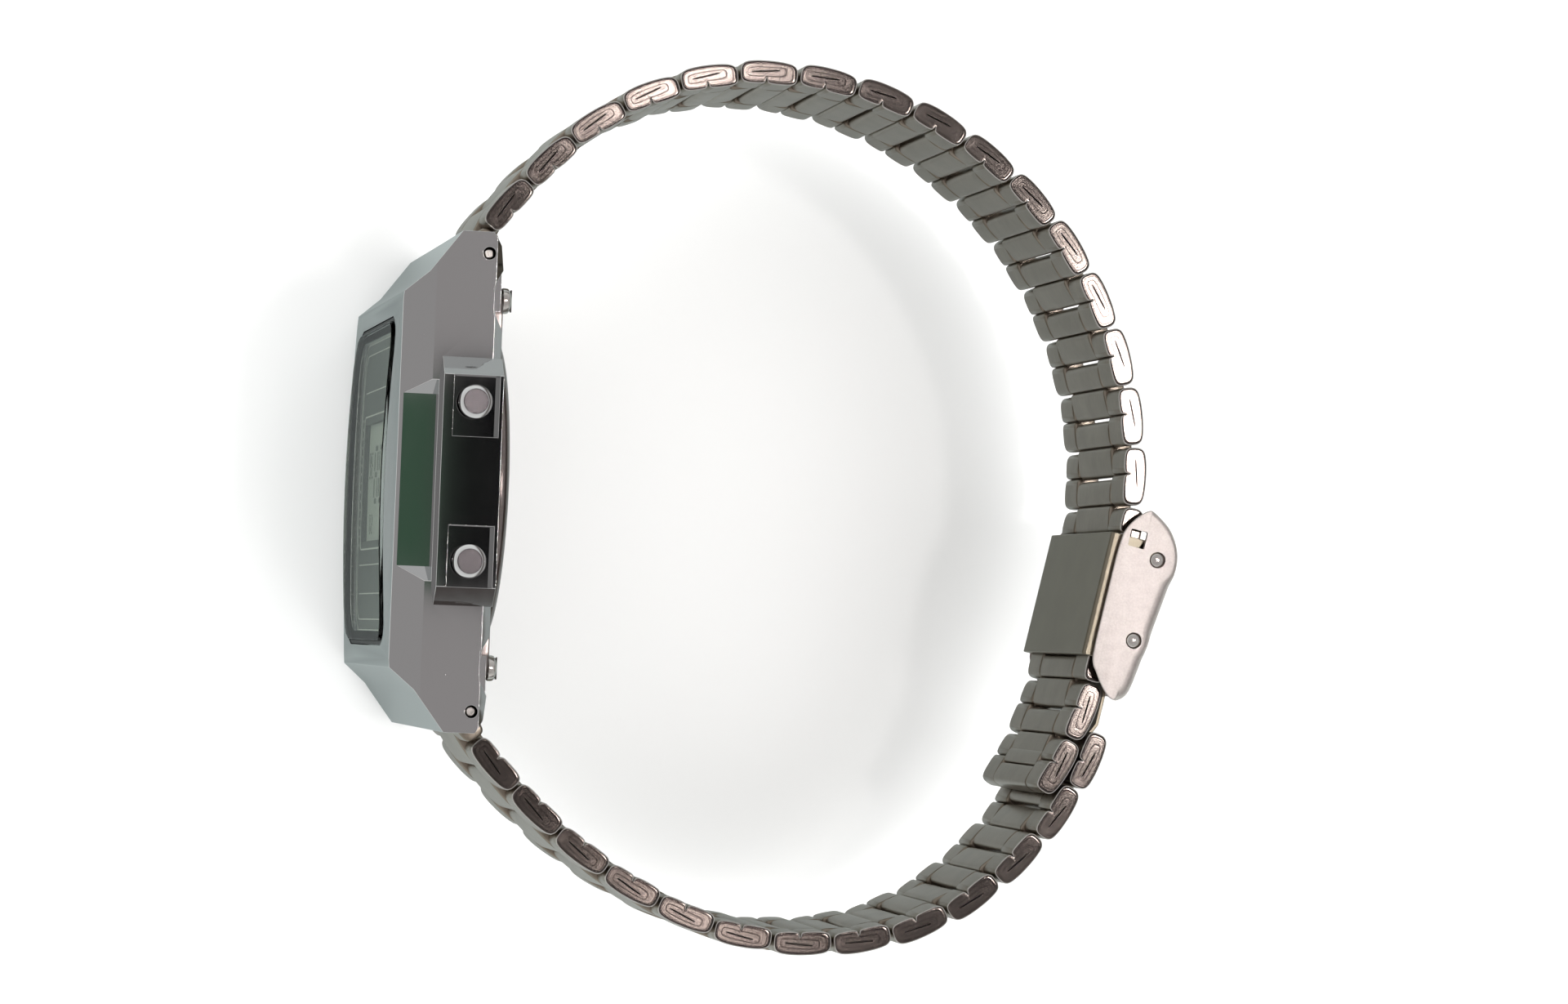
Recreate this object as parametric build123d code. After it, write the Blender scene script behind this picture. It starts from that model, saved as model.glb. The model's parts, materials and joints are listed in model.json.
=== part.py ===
from build123d import *
import math
import os

# A digital watch with a chromed case and a steel bracelet of folded links, closed in a loop.
# The watch lies on its right hand side: the dial looks along -X, its 6 o'clock end is at +Y
# and its 9 o'clock side, with two push buttons, is up. The sketch frame has its origin in the
# middle of the case, on the plane through both spring bars. Sizes are in millimetres.

# Case outline, seen from the side
lug_pitch = 35.1
lug_tip_overhang = 1.65
lug_tip_front = -2.1
lug_tip_back = 0.3
lug_heel = 1.0
lug_heel_drop = 1.0
shoulder_front = -4.5
shoulder_inset = 3.2
bezel_end_front = -6.35
bezel_end_inset = 4.8
bezel_crown_front = -7.0
case_back_level = 1.3

# Case outline, seen from the end
case_half_width = 16.7
rim_half_width = 15.9
rim_front = -6.4
front_half_width = 13.6
side_bevel_back = -4.0
wrist_bevel_front = 0.6
wrist_bevel_depth = 1.0
lug_slot_clearance = 0.3
lug_slot_depth = 3.3
lug_slot_front_gap = 0.35

# Hollow in each side wall between the lug and the button guard
hollow_depth = 0.8
hollow_centre = 14.1
hollow_half_length = 2.3
hollow_floor_half_length = 1.1

# Button guard on each side wall
guard_height = 1.45
guard_half_length = 9.5
guard_bevel = 1.4
guard_front = -3.3
guard_back = 1.3
guard_front_wall = 0.8
guard_back_wall = 0.3
guard_middle_half_length = 3.4
guard_pocket_depth = 1.25

# Shallow channel along the side, in front of the guard, with sloping ends
channel_back = -3.5
channel_half_length = 6.6
channel_slope = 1.1
channel_depth = 0.7

# Push buttons
button_offset = 6.1
button_axis_x = -0.75
button_head_radius = 1.3
button_head_chamfer = 0.25
button_below_guard = 0.1
button_stem_radius = 0.6
button_bore_clearance = 0.05
button_travel = 0.5
button_floor_gap = 0.05
button_clip_radius = 1.1
button_clip_thickness = 0.3
button_stop_gap = 0.02
button_inner_gap = 0.1
button_seal_thickness = 0.7
button_seal_radius = 1.1

# Window, glass and its gasket
glass_half_length = 12.4
glass_half_width = 12.9
glass_corner = 2.6
glass_back = -5.7
glass_edge_front = -6.75
glass_crown_front = -7.25
gasket_thickness = 0.4
ledge_width = 0.8
ledge_thickness = 0.4
fit_gap = 0.05

# Cavity of the case and the module in it
cavity_half_length = 13.0
cavity_half_width = 13.0
cavity_corner = 3.0
dial_thickness = 0.4
dial_margin = 0.3
lcd_window_half_length = 4.7
lcd_window_half_width = 8.8
lcd_window_shift = 0.3
lcd_half_length = 6.0
lcd_half_width = 10.2
lcd_thickness = 1.1
frame_margin = 0.5
frame_wall = 1.4
frame_back = -0.35
board_thickness = 0.6
board_front = -3.4
battery_radius = 10.0
battery_thickness = 1.6
strap_thickness = 0.25
strap_half_width = 2.2
strap_foot = 0.9
buzzer_radius = 4.5
buzzer_thickness = 0.5

# Case back, its gasket and its screws
back_half_length = 15.6
back_half_width = 14.6
back_corner = 2.6
back_thickness = 0.6
back_front = 0.9
back_dome_radius = 12.8
back_dome_edge = 2.6
back_dome_top = 3.3
back_dome_hollow = 0.5
dome_crown_shares = [(0.94, 0.5), (0.6, 1)]
back_gasket_width = 0.8
back_gasket_thickness = 0.5
screw_y = 14.2
screw_z = 13.2
screw_head_radius = 1.0
screw_head_thickness = 0.8
screw_shank_radius = 0.5
screw_length = 3.2

# Spring bars
bar_radius = 0.6
bar_tip_radius = 0.42
bar_tip_inset = 0.5
lug_hole_radius = 0.5
bar_body_gap = 0.1

# Bracelet links: two outer lobes and a middle tube set half a pitch further on
link_pitch = 4.87
link_thickness = 1.75
link_crown = 0.06
link_gap = 0.2
link_nose_share = 0.5
link_shoulder_share = 0.85
band_width = 18.0
outer_column_width = 3.8
column_gap = 0.1
link_notch_depth = 0.3
link_notch_half_width = 0.4
link_notch_share = 0.46
link_pin_radius = 0.36
link_pin_clearance = 0.05
link_pin_facets = 6
tongue_length = 0.8
tongue_thickness = 0.5
end_link_reach = 4.0
end_link_inset = 0.2

# Course of the bracelet: directions in degrees of single links, the ones between follow evenly
long_half_links = 21
short_half_links = 13
long_end_link_direction = 66
short_end_link_direction = -57
long_half_directions = [(0, 50), (1, 45), (5, -1), (8, -29), (12, -65), (15, -91), (16, -102), (18, -102),
                        (20, -120)]
short_half_directions = [(0, -48), (1, -43), (4, -21), (5, -9), (7, 12), (9, 39), (12, 69)]
links_before_clasp = 16

# Clasp, in its own frame: along the band from the first pin of the first link that it grips
sleeve_start = 1.2
sleeve_end = 11.3
sleeve_sheet = 0.35
sleeve_floor_sheet = 0.6
sleeve_gap = 0.12
flap_start = 4.8
flap_end = 8.4
flap_width = 3.3
ear_back = 3.9
ear_round = 1.25
cover_pin_along = 2.55
cover_pin_out = 2.5
cover_pin_radius = 0.5
cover_pin_head_radius = 0.62
cover_pin_head_height = 0.12
hook_bar_along = 9.3
hook_bar_out = 2.15
cover_sheet = 0.35
cover_side_gap = 0.2
cover_start = -1.15
cover_length = 15.45
cover_low = -0.9
cover_height = 5.15
cover_skin_start = 3.1
cover_skin_end = 13.0
cover_brow_shares = [(0, 0.36), (0.016, 0.505), (0.071, 0.751), (0.133, 0.901), (0.197, 0.981)]
cover_skin_shares = [(0.262, 1), (0.366, 0.971), (0.913, 0.767)]
cover_heel_shares = [(0.968, 0.709), (1, 0.583), (1, 0.466), (0.974, 0.35), (0.916, 0.214)]
cover_flange_shares = [(0.877, 0.136), (0.845, 0.049), (0.793, 0), (0.165, 0), (0.087, 0.107), (0.029, 0.243)]
cover_window = 1.4
cover_window_along = 1.3
cover_window_out = 0.5
lock_start = 4.3
lock_end_gap = 0.2
lock_side_gap = 0.82
lock_sheet = 0.3
lock_tooth_width = 0.5
lock_tooth_depth = 0.4
lock_pin_radius = 0.3

# Hook plate: a bent sheet from the last short half link up under the cover
hook_sheet = 0.3
hook_side_gap = 0.6
hook_pivot_along = 18.3
hook_pivot_out = 1.4
hook_rise_along = 16.3
hook_rise_out = 2.3
hook_bend_along = 13.9
hook_tip_gap = 0.2
hook_tip_out = 2.15

# One overrun that takes every cut past the faces that it opens
overrun = 0.5

# Flats on round pieces and on rounded corners, few because so much here repeats
small_round_facets = 16
large_round_facets = 36
corner_facets = 3

quarter_turn = 90

lug_y = lug_pitch / 2
lug_slot_width = band_width + lug_slot_clearance
end_link_width = band_width - end_link_inset
lobe_outer_z = band_width / 2
lobe_inner_z = lobe_outer_z - outer_column_width
tube_z = lobe_inner_z - column_gap
hook_half_width = lobe_inner_z - hook_side_gap
button_clip_room = button_stop_gap + button_clip_thickness + button_travel + button_inner_gap
frame_half_width = cavity_half_width - button_clip_room

# Along a link from its first pin: where its lobes and its middle tube start and end
lobe_start = link_gap / 2 - link_pitch / 4
lobe_end = 3 * link_pitch / 4 - link_gap / 2
tube_start = link_pitch / 4 + link_gap / 2
tube_end = 5 * link_pitch / 4 - link_gap / 2


def prism(points, z_low, z_high):
    """A polygon in XY drawn out along Z."""
    face = make_face(Polyline(*points, close=True))
    return extrude(face, amount=z_high - z_low).moved(Location((0, 0, z_low)))


def block(x_low, x_high, y_low, y_high, z_low, z_high):
    """A plain box between two corners."""
    size = Box(x_high - x_low, y_high - y_low, z_high - z_low)
    middle = ((x_low + x_high) / 2, (y_low + y_high) / 2, (z_low + z_high) / 2)
    return size.moved(Location(middle))


def round_points(x, y, radius, facets):
    """Corners of a regular outline round a point."""
    turns = [2 * math.pi * step / facets for step in range(facets)]
    return [(x + radius * math.cos(turn), y + radius * math.sin(turn)) for turn in turns]


def rod(x, y, radius, z_low, z_high):
    """A small round bar along Z."""
    return prism(round_points(x, y, radius, small_round_facets), z_low, z_high)


def stud(y, z, radius, x_low, x_high):
    """A small round bar along X."""
    bar = prism(round_points(0, 0, radius, small_round_facets), 0, x_high - x_low)
    return bar.moved(Location((x_low, y, z), (0, 90, 0)))


def large_round(radius, x):
    """A large round outline about the X axis."""
    points = round_points(0, 0, radius, large_round_facets)
    return make_face(Polyline(*[(x, y, z) for y, z in points], close=True))


def disc(radius, x_low, x_high):
    """A large round plate about the X axis."""
    return extrude(large_round(radius, x_low), amount=x_high - x_low, dir=(1, 0, 0))


def tile(half_length, half_width, corner, x_low, x_high):
    """A plate with rounded corners, square to X."""
    points = []
    for quarter, (y_sign, z_sign) in enumerate([(1, 1), (-1, 1), (-1, -1), (1, -1)]):
        for step in range(corner_facets + 1):
            turn = math.pi / 2 * (quarter + step / corner_facets)
            y = y_sign * (half_length - corner) + corner * math.cos(turn)
            z = z_sign * (half_width - corner) + corner * math.sin(turn)
            points.append((x_low, y, z))
    face = make_face(Polyline(*points, close=True))
    return extrude(face, amount=x_high - x_low, dir=(1, 0, 0))


def mirrored_in_y(points):
    """An outline given at +Y, closed by its mirror image at -Y."""
    return points + [(x, -y) for x, y in reversed(points)]


def one_solid(shape):
    """The single solid of a shape, for a clean file."""
    solids = shape.solids()
    return solids[0] if len(solids) == 1 else Compound(children=solids)


# Case

def case_side_outline():
    """The case seen along Z: bezel, sloping ends and lugs."""
    tip = lug_y + lug_tip_overhang
    ends = [
        (bezel_end_front, tip - bezel_end_inset),
        (shoulder_front, tip - shoulder_inset),
        (lug_tip_front, tip),
        (lug_tip_back, tip),
        (lug_heel, tip - lug_heel_drop),
        (case_back_level, tip - lug_slot_depth),
    ]
    corners = mirrored_in_y(ends)
    front = ThreePointArc(corners[-1], (bezel_crown_front, 0), corners[0])
    return make_face([Polyline(*corners), front])


def case_end_outline():
    """The case seen along Y, as (x, z): bevelled rim and upright sides."""
    half = [
        (bezel_crown_front - overrun, front_half_width - overrun),
        (bezel_crown_front, front_half_width),
        (rim_front, rim_half_width),
        (side_bevel_back, case_half_width),
        (wrist_bevel_front, case_half_width),
        (case_back_level, case_half_width - wrist_bevel_depth),
        (case_back_level + overrun, case_half_width - wrist_bevel_depth),
    ]
    return half + [(x, -z) for x, z in reversed(half)]


def guard_block(side):
    """The raised guard on one side wall, bevelled at both ends."""
    foot = side * (case_half_width - overrun)
    root = side * case_half_width
    top = side * (case_half_width + guard_height)
    ridge = guard_half_length - guard_bevel
    outline = [
        (-guard_half_length, foot),
        (-guard_half_length, root),
        (-ridge, top),
        (ridge, top),
        (guard_half_length, root),
        (guard_half_length, foot),
    ]
    face = make_face(Polyline(*[(guard_front, y, z) for y, z in outline], close=True))
    return extrude(face, amount=guard_back - guard_front, dir=(1, 0, 0))


def button_places():
    """Y and side of the three push buttons."""
    return [(button_offset, 1), (-button_offset, 1), (button_offset, -1)]


def guard_pocket(y, side):
    """The pocket in which one button stands."""
    top = case_half_width + guard_height
    low, high = sorted([side * (top - guard_pocket_depth), side * (top + overrun)])
    inner = math.copysign(guard_middle_half_length, y)
    outer = math.copysign(guard_half_length - guard_bevel, y)
    y_low, y_high = sorted([inner, outer])
    return block(guard_front + guard_front_wall, guard_back - guard_back_wall, y_low, y_high, low, high)


def button_bore(y, side):
    """Bore for a stem, widened for its seal under the head and open to the cavity."""
    floor = case_half_width + guard_height - guard_pocket_depth
    radius = button_stem_radius + button_bore_clearance
    low, high = sorted([side * (cavity_half_width - overrun), side * (floor + overrun)])
    bore = rod(button_axis_x, y, radius, low, high)
    low, high = sorted([side * (floor - button_seal_thickness), side * (floor + overrun)])
    return bore + rod(button_axis_x, y, button_seal_radius, low, high)


def side_hollow(y_sign, side):
    """The scoop in the back edge of a side wall, beside a screw."""
    outline = [
        (case_back_level + overrun, hollow_centre - hollow_half_length),
        (case_back_level, hollow_centre - hollow_half_length),
        (case_back_level - hollow_depth, hollow_centre - hollow_floor_half_length),
        (case_back_level - hollow_depth, hollow_centre + hollow_floor_half_length),
        (case_back_level, hollow_centre + hollow_half_length),
        (case_back_level + overrun, hollow_centre + hollow_half_length),
    ]
    z_low, z_high = sorted([side * back_half_width, side * (case_half_width + overrun)])
    return prism([(x, y_sign * y) for x, y in outline], z_low, z_high)


def side_channel(side):
    """The shallow channel between the bezel and the guard."""
    top = side * (case_half_width + overrun)
    floor = side * (case_half_width - channel_depth)
    steep_share = (channel_depth + overrun) / channel_depth
    mouth = channel_half_length + channel_slope * steep_share
    outline = [(-mouth, top), (-channel_half_length, floor), (channel_half_length, floor), (mouth, top)]
    face = make_face(Polyline(*[(bezel_crown_front - overrun, y, z) for y, z in outline], close=True))
    return extrude(face, amount=channel_back - bezel_crown_front + overrun, dir=(1, 0, 0))


def lug_slot_front():
    """Where the slot for the end link stops behind the case's sloping end plate."""
    return -link_thickness / 2 - link_crown - lug_slot_front_gap


def case_body():
    """The chromed case with its window, cavity, lugs, guards and bores."""
    body = extrude(case_side_outline(), amount=case_half_width, both=True)
    section = make_face(Polyline(*[(x, 0, z) for x, z in case_end_outline()], close=True))
    body = body & extrude(section, amount=lug_pitch, both=True, dir=(0, 1, 0))
    for side in (1, -1):
        body = body + guard_block(side)
    for y, side in button_places():
        body = body - guard_pocket(y, side) - button_bore(y, side)
    length = glass_half_length + gasket_thickness
    width = glass_half_width + gasket_thickness
    corner = glass_corner + gasket_thickness
    body = body - tile(length, width, corner, bezel_crown_front - overrun, glass_back)
    length = glass_half_length - ledge_width
    width = glass_half_width - ledge_width
    body = body - tile(length, width, glass_corner, glass_back - overrun, ledge_back() + overrun)
    body = body - tile(cavity_half_length, cavity_half_width, cavity_corner,
                       ledge_back(), back_front + overrun)
    back_length = back_half_length + fit_gap
    back_width = back_half_width + fit_gap
    body = body - tile(back_length, back_width, back_corner, back_front, case_back_level + overrun)
    for end in (1, -1):
        slot_edges = [lug_y + lug_tip_overhang - lug_slot_depth, lug_y + lug_pitch]
        slot_low, slot_high = sorted([end * slot_edge for slot_edge in slot_edges])
        half_slot = lug_slot_width / 2
        body = body - block(lug_slot_front(), lug_pitch, slot_low, slot_high, -half_slot, half_slot)
        body = body - rod(0, end * lug_y, lug_hole_radius, -case_half_width - overrun, case_half_width + overrun)
        for side in (1, -1):
            body = body - side_hollow(end, side)
            body = body - stud(end * screw_y, side * screw_z, screw_shank_radius,
                               back_front - screw_length, back_front + overrun)
    for side in (1, -1):
        body = body - side_channel(side)
    return body


def crystal_glass():
    """The window glass, domed a little along the watch."""
    plate = tile(glass_half_length, glass_half_width, glass_corner, glass_crown_front - overrun, glass_back)
    crown = ThreePointArc((glass_edge_front, glass_half_length), (glass_crown_front, 0),
                          (glass_edge_front, -glass_half_length))
    back = Polyline(crown @ 1, (glass_back, -glass_half_length), (glass_back, glass_half_length), crown @ 0)
    shape = extrude(make_face([crown, back]), amount=glass_half_width, both=True)
    return plate & shape


def glass_gasket():
    """The black frame that holds the glass in the case."""
    outer = tile(glass_half_length + gasket_thickness - fit_gap, glass_half_width + gasket_thickness - fit_gap,
                 glass_corner + gasket_thickness - fit_gap, rim_front - fit_gap, glass_back)
    inner = tile(glass_half_length, glass_half_width, glass_corner, rim_front - overrun, glass_back + overrun)
    return outer - inner


def ledge_back():
    """Level of the back of the ledge that carries the glass."""
    return glass_back + ledge_thickness


def dial_front():
    """Level of the dial's front face, against the ledge."""
    return ledge_back() + fit_gap


def dial_panel():
    """The printed panel round the display."""
    length = cavity_half_length - dial_margin
    width = cavity_half_width - dial_margin
    plate = tile(length, width, cavity_corner - dial_margin, dial_front(), dial_front() + dial_thickness)
    window = block(dial_front() - overrun, dial_front() + dial_thickness + overrun,
                   lcd_window_shift - lcd_window_half_length, lcd_window_shift + lcd_window_half_length,
                   -lcd_window_half_width, lcd_window_half_width)
    return plate - window


def lcd_panel():
    """The liquid crystal cell behind the dial's window."""
    front = dial_front() + dial_thickness
    return block(front, front + lcd_thickness, lcd_window_shift - lcd_half_length,
                 lcd_window_shift + lcd_half_length, -lcd_half_width, lcd_half_width)


def module_frame():
    """The plastic frame that carries the display, the board and the cell."""
    front = dial_front() + dial_thickness
    length = cavity_half_length - frame_margin
    width = frame_half_width
    frame = tile(length, width, cavity_corner - frame_margin, front, frame_back)
    pocket = block(front - overrun, front + lcd_thickness, lcd_window_shift - lcd_half_length - fit_gap,
                   lcd_window_shift + lcd_half_length + fit_gap, -lcd_half_width - fit_gap, lcd_half_width + fit_gap)
    tray = tile(length - frame_wall, width - frame_wall, cavity_corner - frame_margin, board_front,
                frame_back + overrun)
    return frame - pocket - tray


def circuit_board():
    """The board in the frame's tray."""
    length = cavity_half_length - frame_margin - frame_wall - fit_gap
    width = frame_half_width - frame_wall - fit_gap
    return tile(length, width, cavity_corner - frame_margin, board_front, board_front + board_thickness)


def battery():
    """The coin cell on the board."""
    front = board_front + board_thickness
    return disc(battery_radius, front, front + battery_thickness)


def battery_strap():
    """The steel strap across the cell, with a foot on the board at each end."""
    top = board_front + board_thickness + battery_thickness
    foot_out = cavity_half_length - frame_margin - frame_wall - fit_gap
    strap = block(top, top + strap_thickness, -foot_out, foot_out, -strap_half_width, strap_half_width)
    for end in (1, -1):
        y_low, y_high = sorted([end * (foot_out - strap_foot), end * foot_out])
        strap = strap + block(board_front + board_thickness, top, y_low, y_high, -strap_half_width, strap_half_width)
    return strap


def back_gasket():
    """The flat ring that seals the case back."""
    outer = tile(cavity_half_length, cavity_half_width, cavity_corner, back_front - back_gasket_thickness, back_front)
    inner = tile(cavity_half_length - back_gasket_width, cavity_half_width - back_gasket_width,
                 cavity_corner - back_gasket_width, back_front - back_gasket_thickness - overrun,
                 back_front + overrun)
    return outer - inner


def dome(radius, base, edge, top):
    """A low crown of cones on a straight step, turned about the X axis."""
    points = [(base, 0), (base, radius), (edge, radius)]
    for across_share, rise_share in dome_crown_shares:
        points.append((edge + (top - edge) * rise_share, radius * across_share))
    points.append((top, 0))
    return revolve(make_face(Polyline(*points, close=True)), Axis.X)


def back_plate():
    """The steel case back: a flat plate with a round dome over the module."""
    back = back_front + back_thickness
    plate = tile(back_half_length, back_half_width, back_corner, back_front, back)
    plate = plate + dome(back_dome_radius, back_front, back_dome_edge, back_dome_top)
    plate = plate - disc(back_dome_radius - back_dome_hollow, back_front - overrun, dome_inside())
    for end in (1, -1):
        for side in (1, -1):
            plate = plate - stud(end * screw_y, side * screw_z, screw_shank_radius + fit_gap,
                                 back_front - overrun, back + overrun)
    return plate


def dome_inside():
    """Level of the flat bottom inside the dome."""
    return back_dome_edge - back_dome_hollow


def buzzer_disc():
    """The sounder, a thin disc stuck inside the dome."""
    return stud(0, 0, buzzer_radius, dome_inside() - buzzer_thickness, dome_inside())


def back_screws():
    """Four screws, one in each corner of the case back."""
    seat = back_front + back_thickness
    screws = []
    for end in (1, -1):
        for side in (1, -1):
            y = end * screw_y
            z = side * screw_z
            head = stud(y, z, screw_head_radius, seat, seat + screw_head_thickness)
            screws.append(head + stud(y, z, screw_shank_radius, back_front + fit_gap - screw_length, seat))
    return Compound(children=[solid for screw in screws for solid in screw.solids()])


def button(y, side):
    """A push button: chamfered head, stem through the wall and a clip inside."""
    top = case_half_width + guard_height - button_below_guard
    head_base = case_half_width + guard_height - guard_pocket_depth + button_floor_gap + button_travel
    head = rod(0, 0, button_head_radius, head_base, top)
    head = chamfer(head.edges().group_by(Axis.Z)[-1], button_head_chamfer)
    clip_top = cavity_half_width - button_stop_gap
    stem = rod(0, 0, button_stem_radius, clip_top - button_clip_thickness, head_base)
    clip = rod(0, 0, button_clip_radius, clip_top - button_clip_thickness, clip_top)
    shape = head + stem + clip
    turn = 0 if side > 0 else 180
    return shape.moved(Location((button_axis_x, y, 0), (turn, 0, 0)))


def button_seals():
    """Rubber sleeves round the three stems, in the widened part of their bores."""
    floor = case_half_width + guard_height - guard_pocket_depth
    seals = []
    for y, side in button_places():
        low, high = sorted([side * (floor - button_seal_thickness), side * (floor - fit_gap)])
        ring = rod(button_axis_x, y, button_seal_radius - fit_gap, low, high)
        hole_radius = button_stem_radius + button_bore_clearance
        seals.append(ring - rod(button_axis_x, y, hole_radius, low - overrun, high + overrun))
    return Compound(children=[solid for seal in seals for solid in seal.solids()])


def spring_bars():
    """Both spring bars: a stout body between the lugs and a thin tip in each lug."""
    bars = []
    half_body = lug_slot_width / 2 - bar_body_gap
    half_tips = case_half_width - bar_tip_inset
    for end in (1, -1):
        body = rod(0, end * lug_y, bar_radius, -half_body, half_body)
        bars.append(body + rod(0, end * lug_y, bar_tip_radius, -half_tips, half_tips))
    return Compound(children=[solid for bar in bars for solid in bar.solids()])


# Bracelet

def link_outline(start, end):
    """A folded link from the side: blunt ends, crowned back, notch towards the wrist."""
    radius = link_thickness / 2
    nose = radius * link_nose_share
    shoulder = radius * link_shoulder_share
    notch = start + (end - start) * link_notch_share
    return [
        (start + shoulder, -radius),
        (notch - link_notch_half_width, -radius),
        (notch, -radius + link_notch_depth),
        (notch + link_notch_half_width, -radius),
        (end - shoulder, -radius),
        (end, -nose),
        (end, nose),
        (end - shoulder, radius),
        ((start + end) / 2, radius + link_crown),
        (start + shoulder, radius),
        (start, nose),
        (start, -nose),
    ]


def pin(along, radius, z_low, z_high):
    """A link pin or its bore, with a few flats so that many links stay light."""
    return prism(round_points(along, 0, radius, link_pin_facets), z_low, z_high)


def pin_bore(along):
    """Bore through a middle tube for the next link's pin, clear of the pin's corners."""
    flat_share = math.cos(math.radians(180 / link_pin_facets))
    radius = (link_pin_radius + link_pin_clearance) / flat_share
    return pin(along, radius, -tube_z - overrun, tube_z + overrun)


def tongue(along):
    """The riveted tongue that joins a link's lobes to its own middle tube."""
    half = tongue_length / 2
    thick = tongue_thickness / 2
    return block(along - half, along + half, -thick, thick, -lobe_inner_z - column_gap, lobe_inner_z + column_gap)


def lobes():
    """The two outer lobes of a link."""
    outline = link_outline(lobe_start, lobe_end)
    near = prism(outline, lobe_inner_z, lobe_outer_z)
    return near + prism(outline, -lobe_outer_z, -lobe_inner_z)


def middle_tube(start, end):
    """The wide middle piece of a link."""
    return prism(link_outline(start, end), -tube_z, tube_z)


def band_link():
    """A link about its first pin: lobes, pin, and a middle tube with the next pin's bore."""
    tube = middle_tube(tube_start, tube_end)
    tube = tube - pin_bore(link_pitch)
    reach = lobe_inner_z + column_gap
    return lobes() + pin(0, link_pin_radius, -reach, reach) + tongue(link_pitch / 2) + tube


def last_long_link():
    """The loose end of the long half: its middle closes flush with the lobes."""
    nose = prism(link_outline(lobe_start, lobe_end), -lobe_inner_z, lobe_inner_z)
    nose = nose & block(tube_start, link_pitch, -link_thickness, link_thickness, -lobe_inner_z, lobe_inner_z)
    reach = lobe_inner_z + column_gap
    return lobes() + nose + pin(0, link_pin_radius, -reach, reach)


def last_short_link():
    """The last link of the short half: two lobes on two pins, the second for the hook plate."""
    reach = lobe_inner_z + column_gap
    return lobes() + pin(0, link_pin_radius, -reach, reach) + pin(link_pitch / 2, link_pin_radius, -reach, reach)


def end_link():
    """The piece on a spring bar, about the bar: full width there, then a middle tube."""
    half = end_link_width / 2
    sleeve = prism(link_outline(-link_thickness / 2, end_link_reach - link_pitch / 4 - link_gap / 2), -half, half)
    tube = middle_tube(end_link_reach - 3 * link_pitch / 4 + link_gap / 2,
                       end_link_reach + link_pitch / 4 - link_gap / 2)
    shape = sleeve + tube - pin_bore(end_link_reach)
    return shape - rod(0, 0, bar_radius + fit_gap, -half - overrun, half + overrun)


# Course of the bracelet

def directions(knots, count):
    """The direction of each link, evenly spread between the given ones."""
    values = []
    for index in range(count):
        for (low, start), (high, end) in zip(knots, knots[1:]):
            if low <= index <= high:
                value = start + (end - start) * (index - low) / (high - low)
        values.append(value)
    return values


def step_from(point, direction, length):
    """The point at a distance in a direction."""
    angle = math.radians(direction)
    return (point[0] + length * math.cos(angle), point[1] + length * math.sin(angle))


def pins_along(lug_sign, end_direction, link_directions):
    """Pin places of one half, from the spring bar to past its last link."""
    places = [(0, lug_sign * lug_y)]
    places.append(step_from(places[0], end_direction, end_link_reach))
    for direction in link_directions:
        places.append(step_from(places[-1], direction, link_pitch))
    return places


def in_clasp(place, direction, along, out):
    """A point given in the clasp's frame, in the sketch frame."""
    return step_from(step_from(place, direction, along), direction + quarter_turn, out)


def short_half_course(turn, curl):
    """Directions of the short half, turned and curled a little from the drawn ones."""
    drawn = directions(short_half_directions, short_half_links)
    bent = [value + turn + curl * index for index, value in enumerate(drawn)]
    return short_end_link_direction + turn, bent


def short_half_miss(turn, curl, target):
    """How far the last pin of the short half is from the clasp's hook pivot."""
    end_direction, bent = short_half_course(turn, curl)
    places = pins_along(-1, end_direction, bent)
    pivot = step_from(places[-2], bent[-1], link_pitch / 2)
    return pivot[0] - target[0], pivot[1] - target[1]


def close_the_loop(target):
    """Turn and curl of the short half that bring its last pin to the hook pivot."""
    turn, curl = 0, 0
    small_turn = 0.01
    rounds = 12
    for _ in range(rounds):
        miss_x, miss_y = short_half_miss(turn, curl, target)
        turn_x, turn_y = short_half_miss(turn + small_turn, curl, target)
        curl_x, curl_y = short_half_miss(turn, curl + small_turn, target)
        a, b = (turn_x - miss_x) / small_turn, (curl_x - miss_x) / small_turn
        c, d = (turn_y - miss_y) / small_turn, (curl_y - miss_y) / small_turn
        scale = a * d - b * c
        turn = turn - (d * miss_x - b * miss_y) / scale
        curl = curl - (a * miss_y - c * miss_x) / scale
    return turn, curl


# Clasp

def sheet_strip(points, thickness):
    """Outline of a bent sheet that follows a line of points, mitred at the bends."""
    left, right = [], []
    for index, (x, y) in enumerate(points):
        before = points[max(index - 1, 0)]
        after = points[min(index + 1, len(points) - 1)]
        normals = []
        for (x0, y0), (x1, y1) in ((before, (x, y)), ((x, y), after)):
            length = math.hypot(x1 - x0, y1 - y0)
            if length > 0:
                normals.append(((y0 - y1) / length, (x1 - x0) / length))
        nx = sum(normal[0] for normal in normals)
        ny = sum(normal[1] for normal in normals)
        stretch = thickness / 2 * len(normals) / (nx * nx + ny * ny)
        left.append((x + nx * stretch, y + ny * stretch))
        right.append((x - nx * stretch, y - ny * stretch))
    return left + right[::-1]


def sleeve_inner_z():
    """Inside of the sleeve's side walls."""
    return band_width / 2 + sleeve_gap


def sleeve_floor():
    """Wrist side face of the sleeve's floor."""
    return -link_thickness / 2 - sleeve_gap - sleeve_floor_sheet


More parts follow.
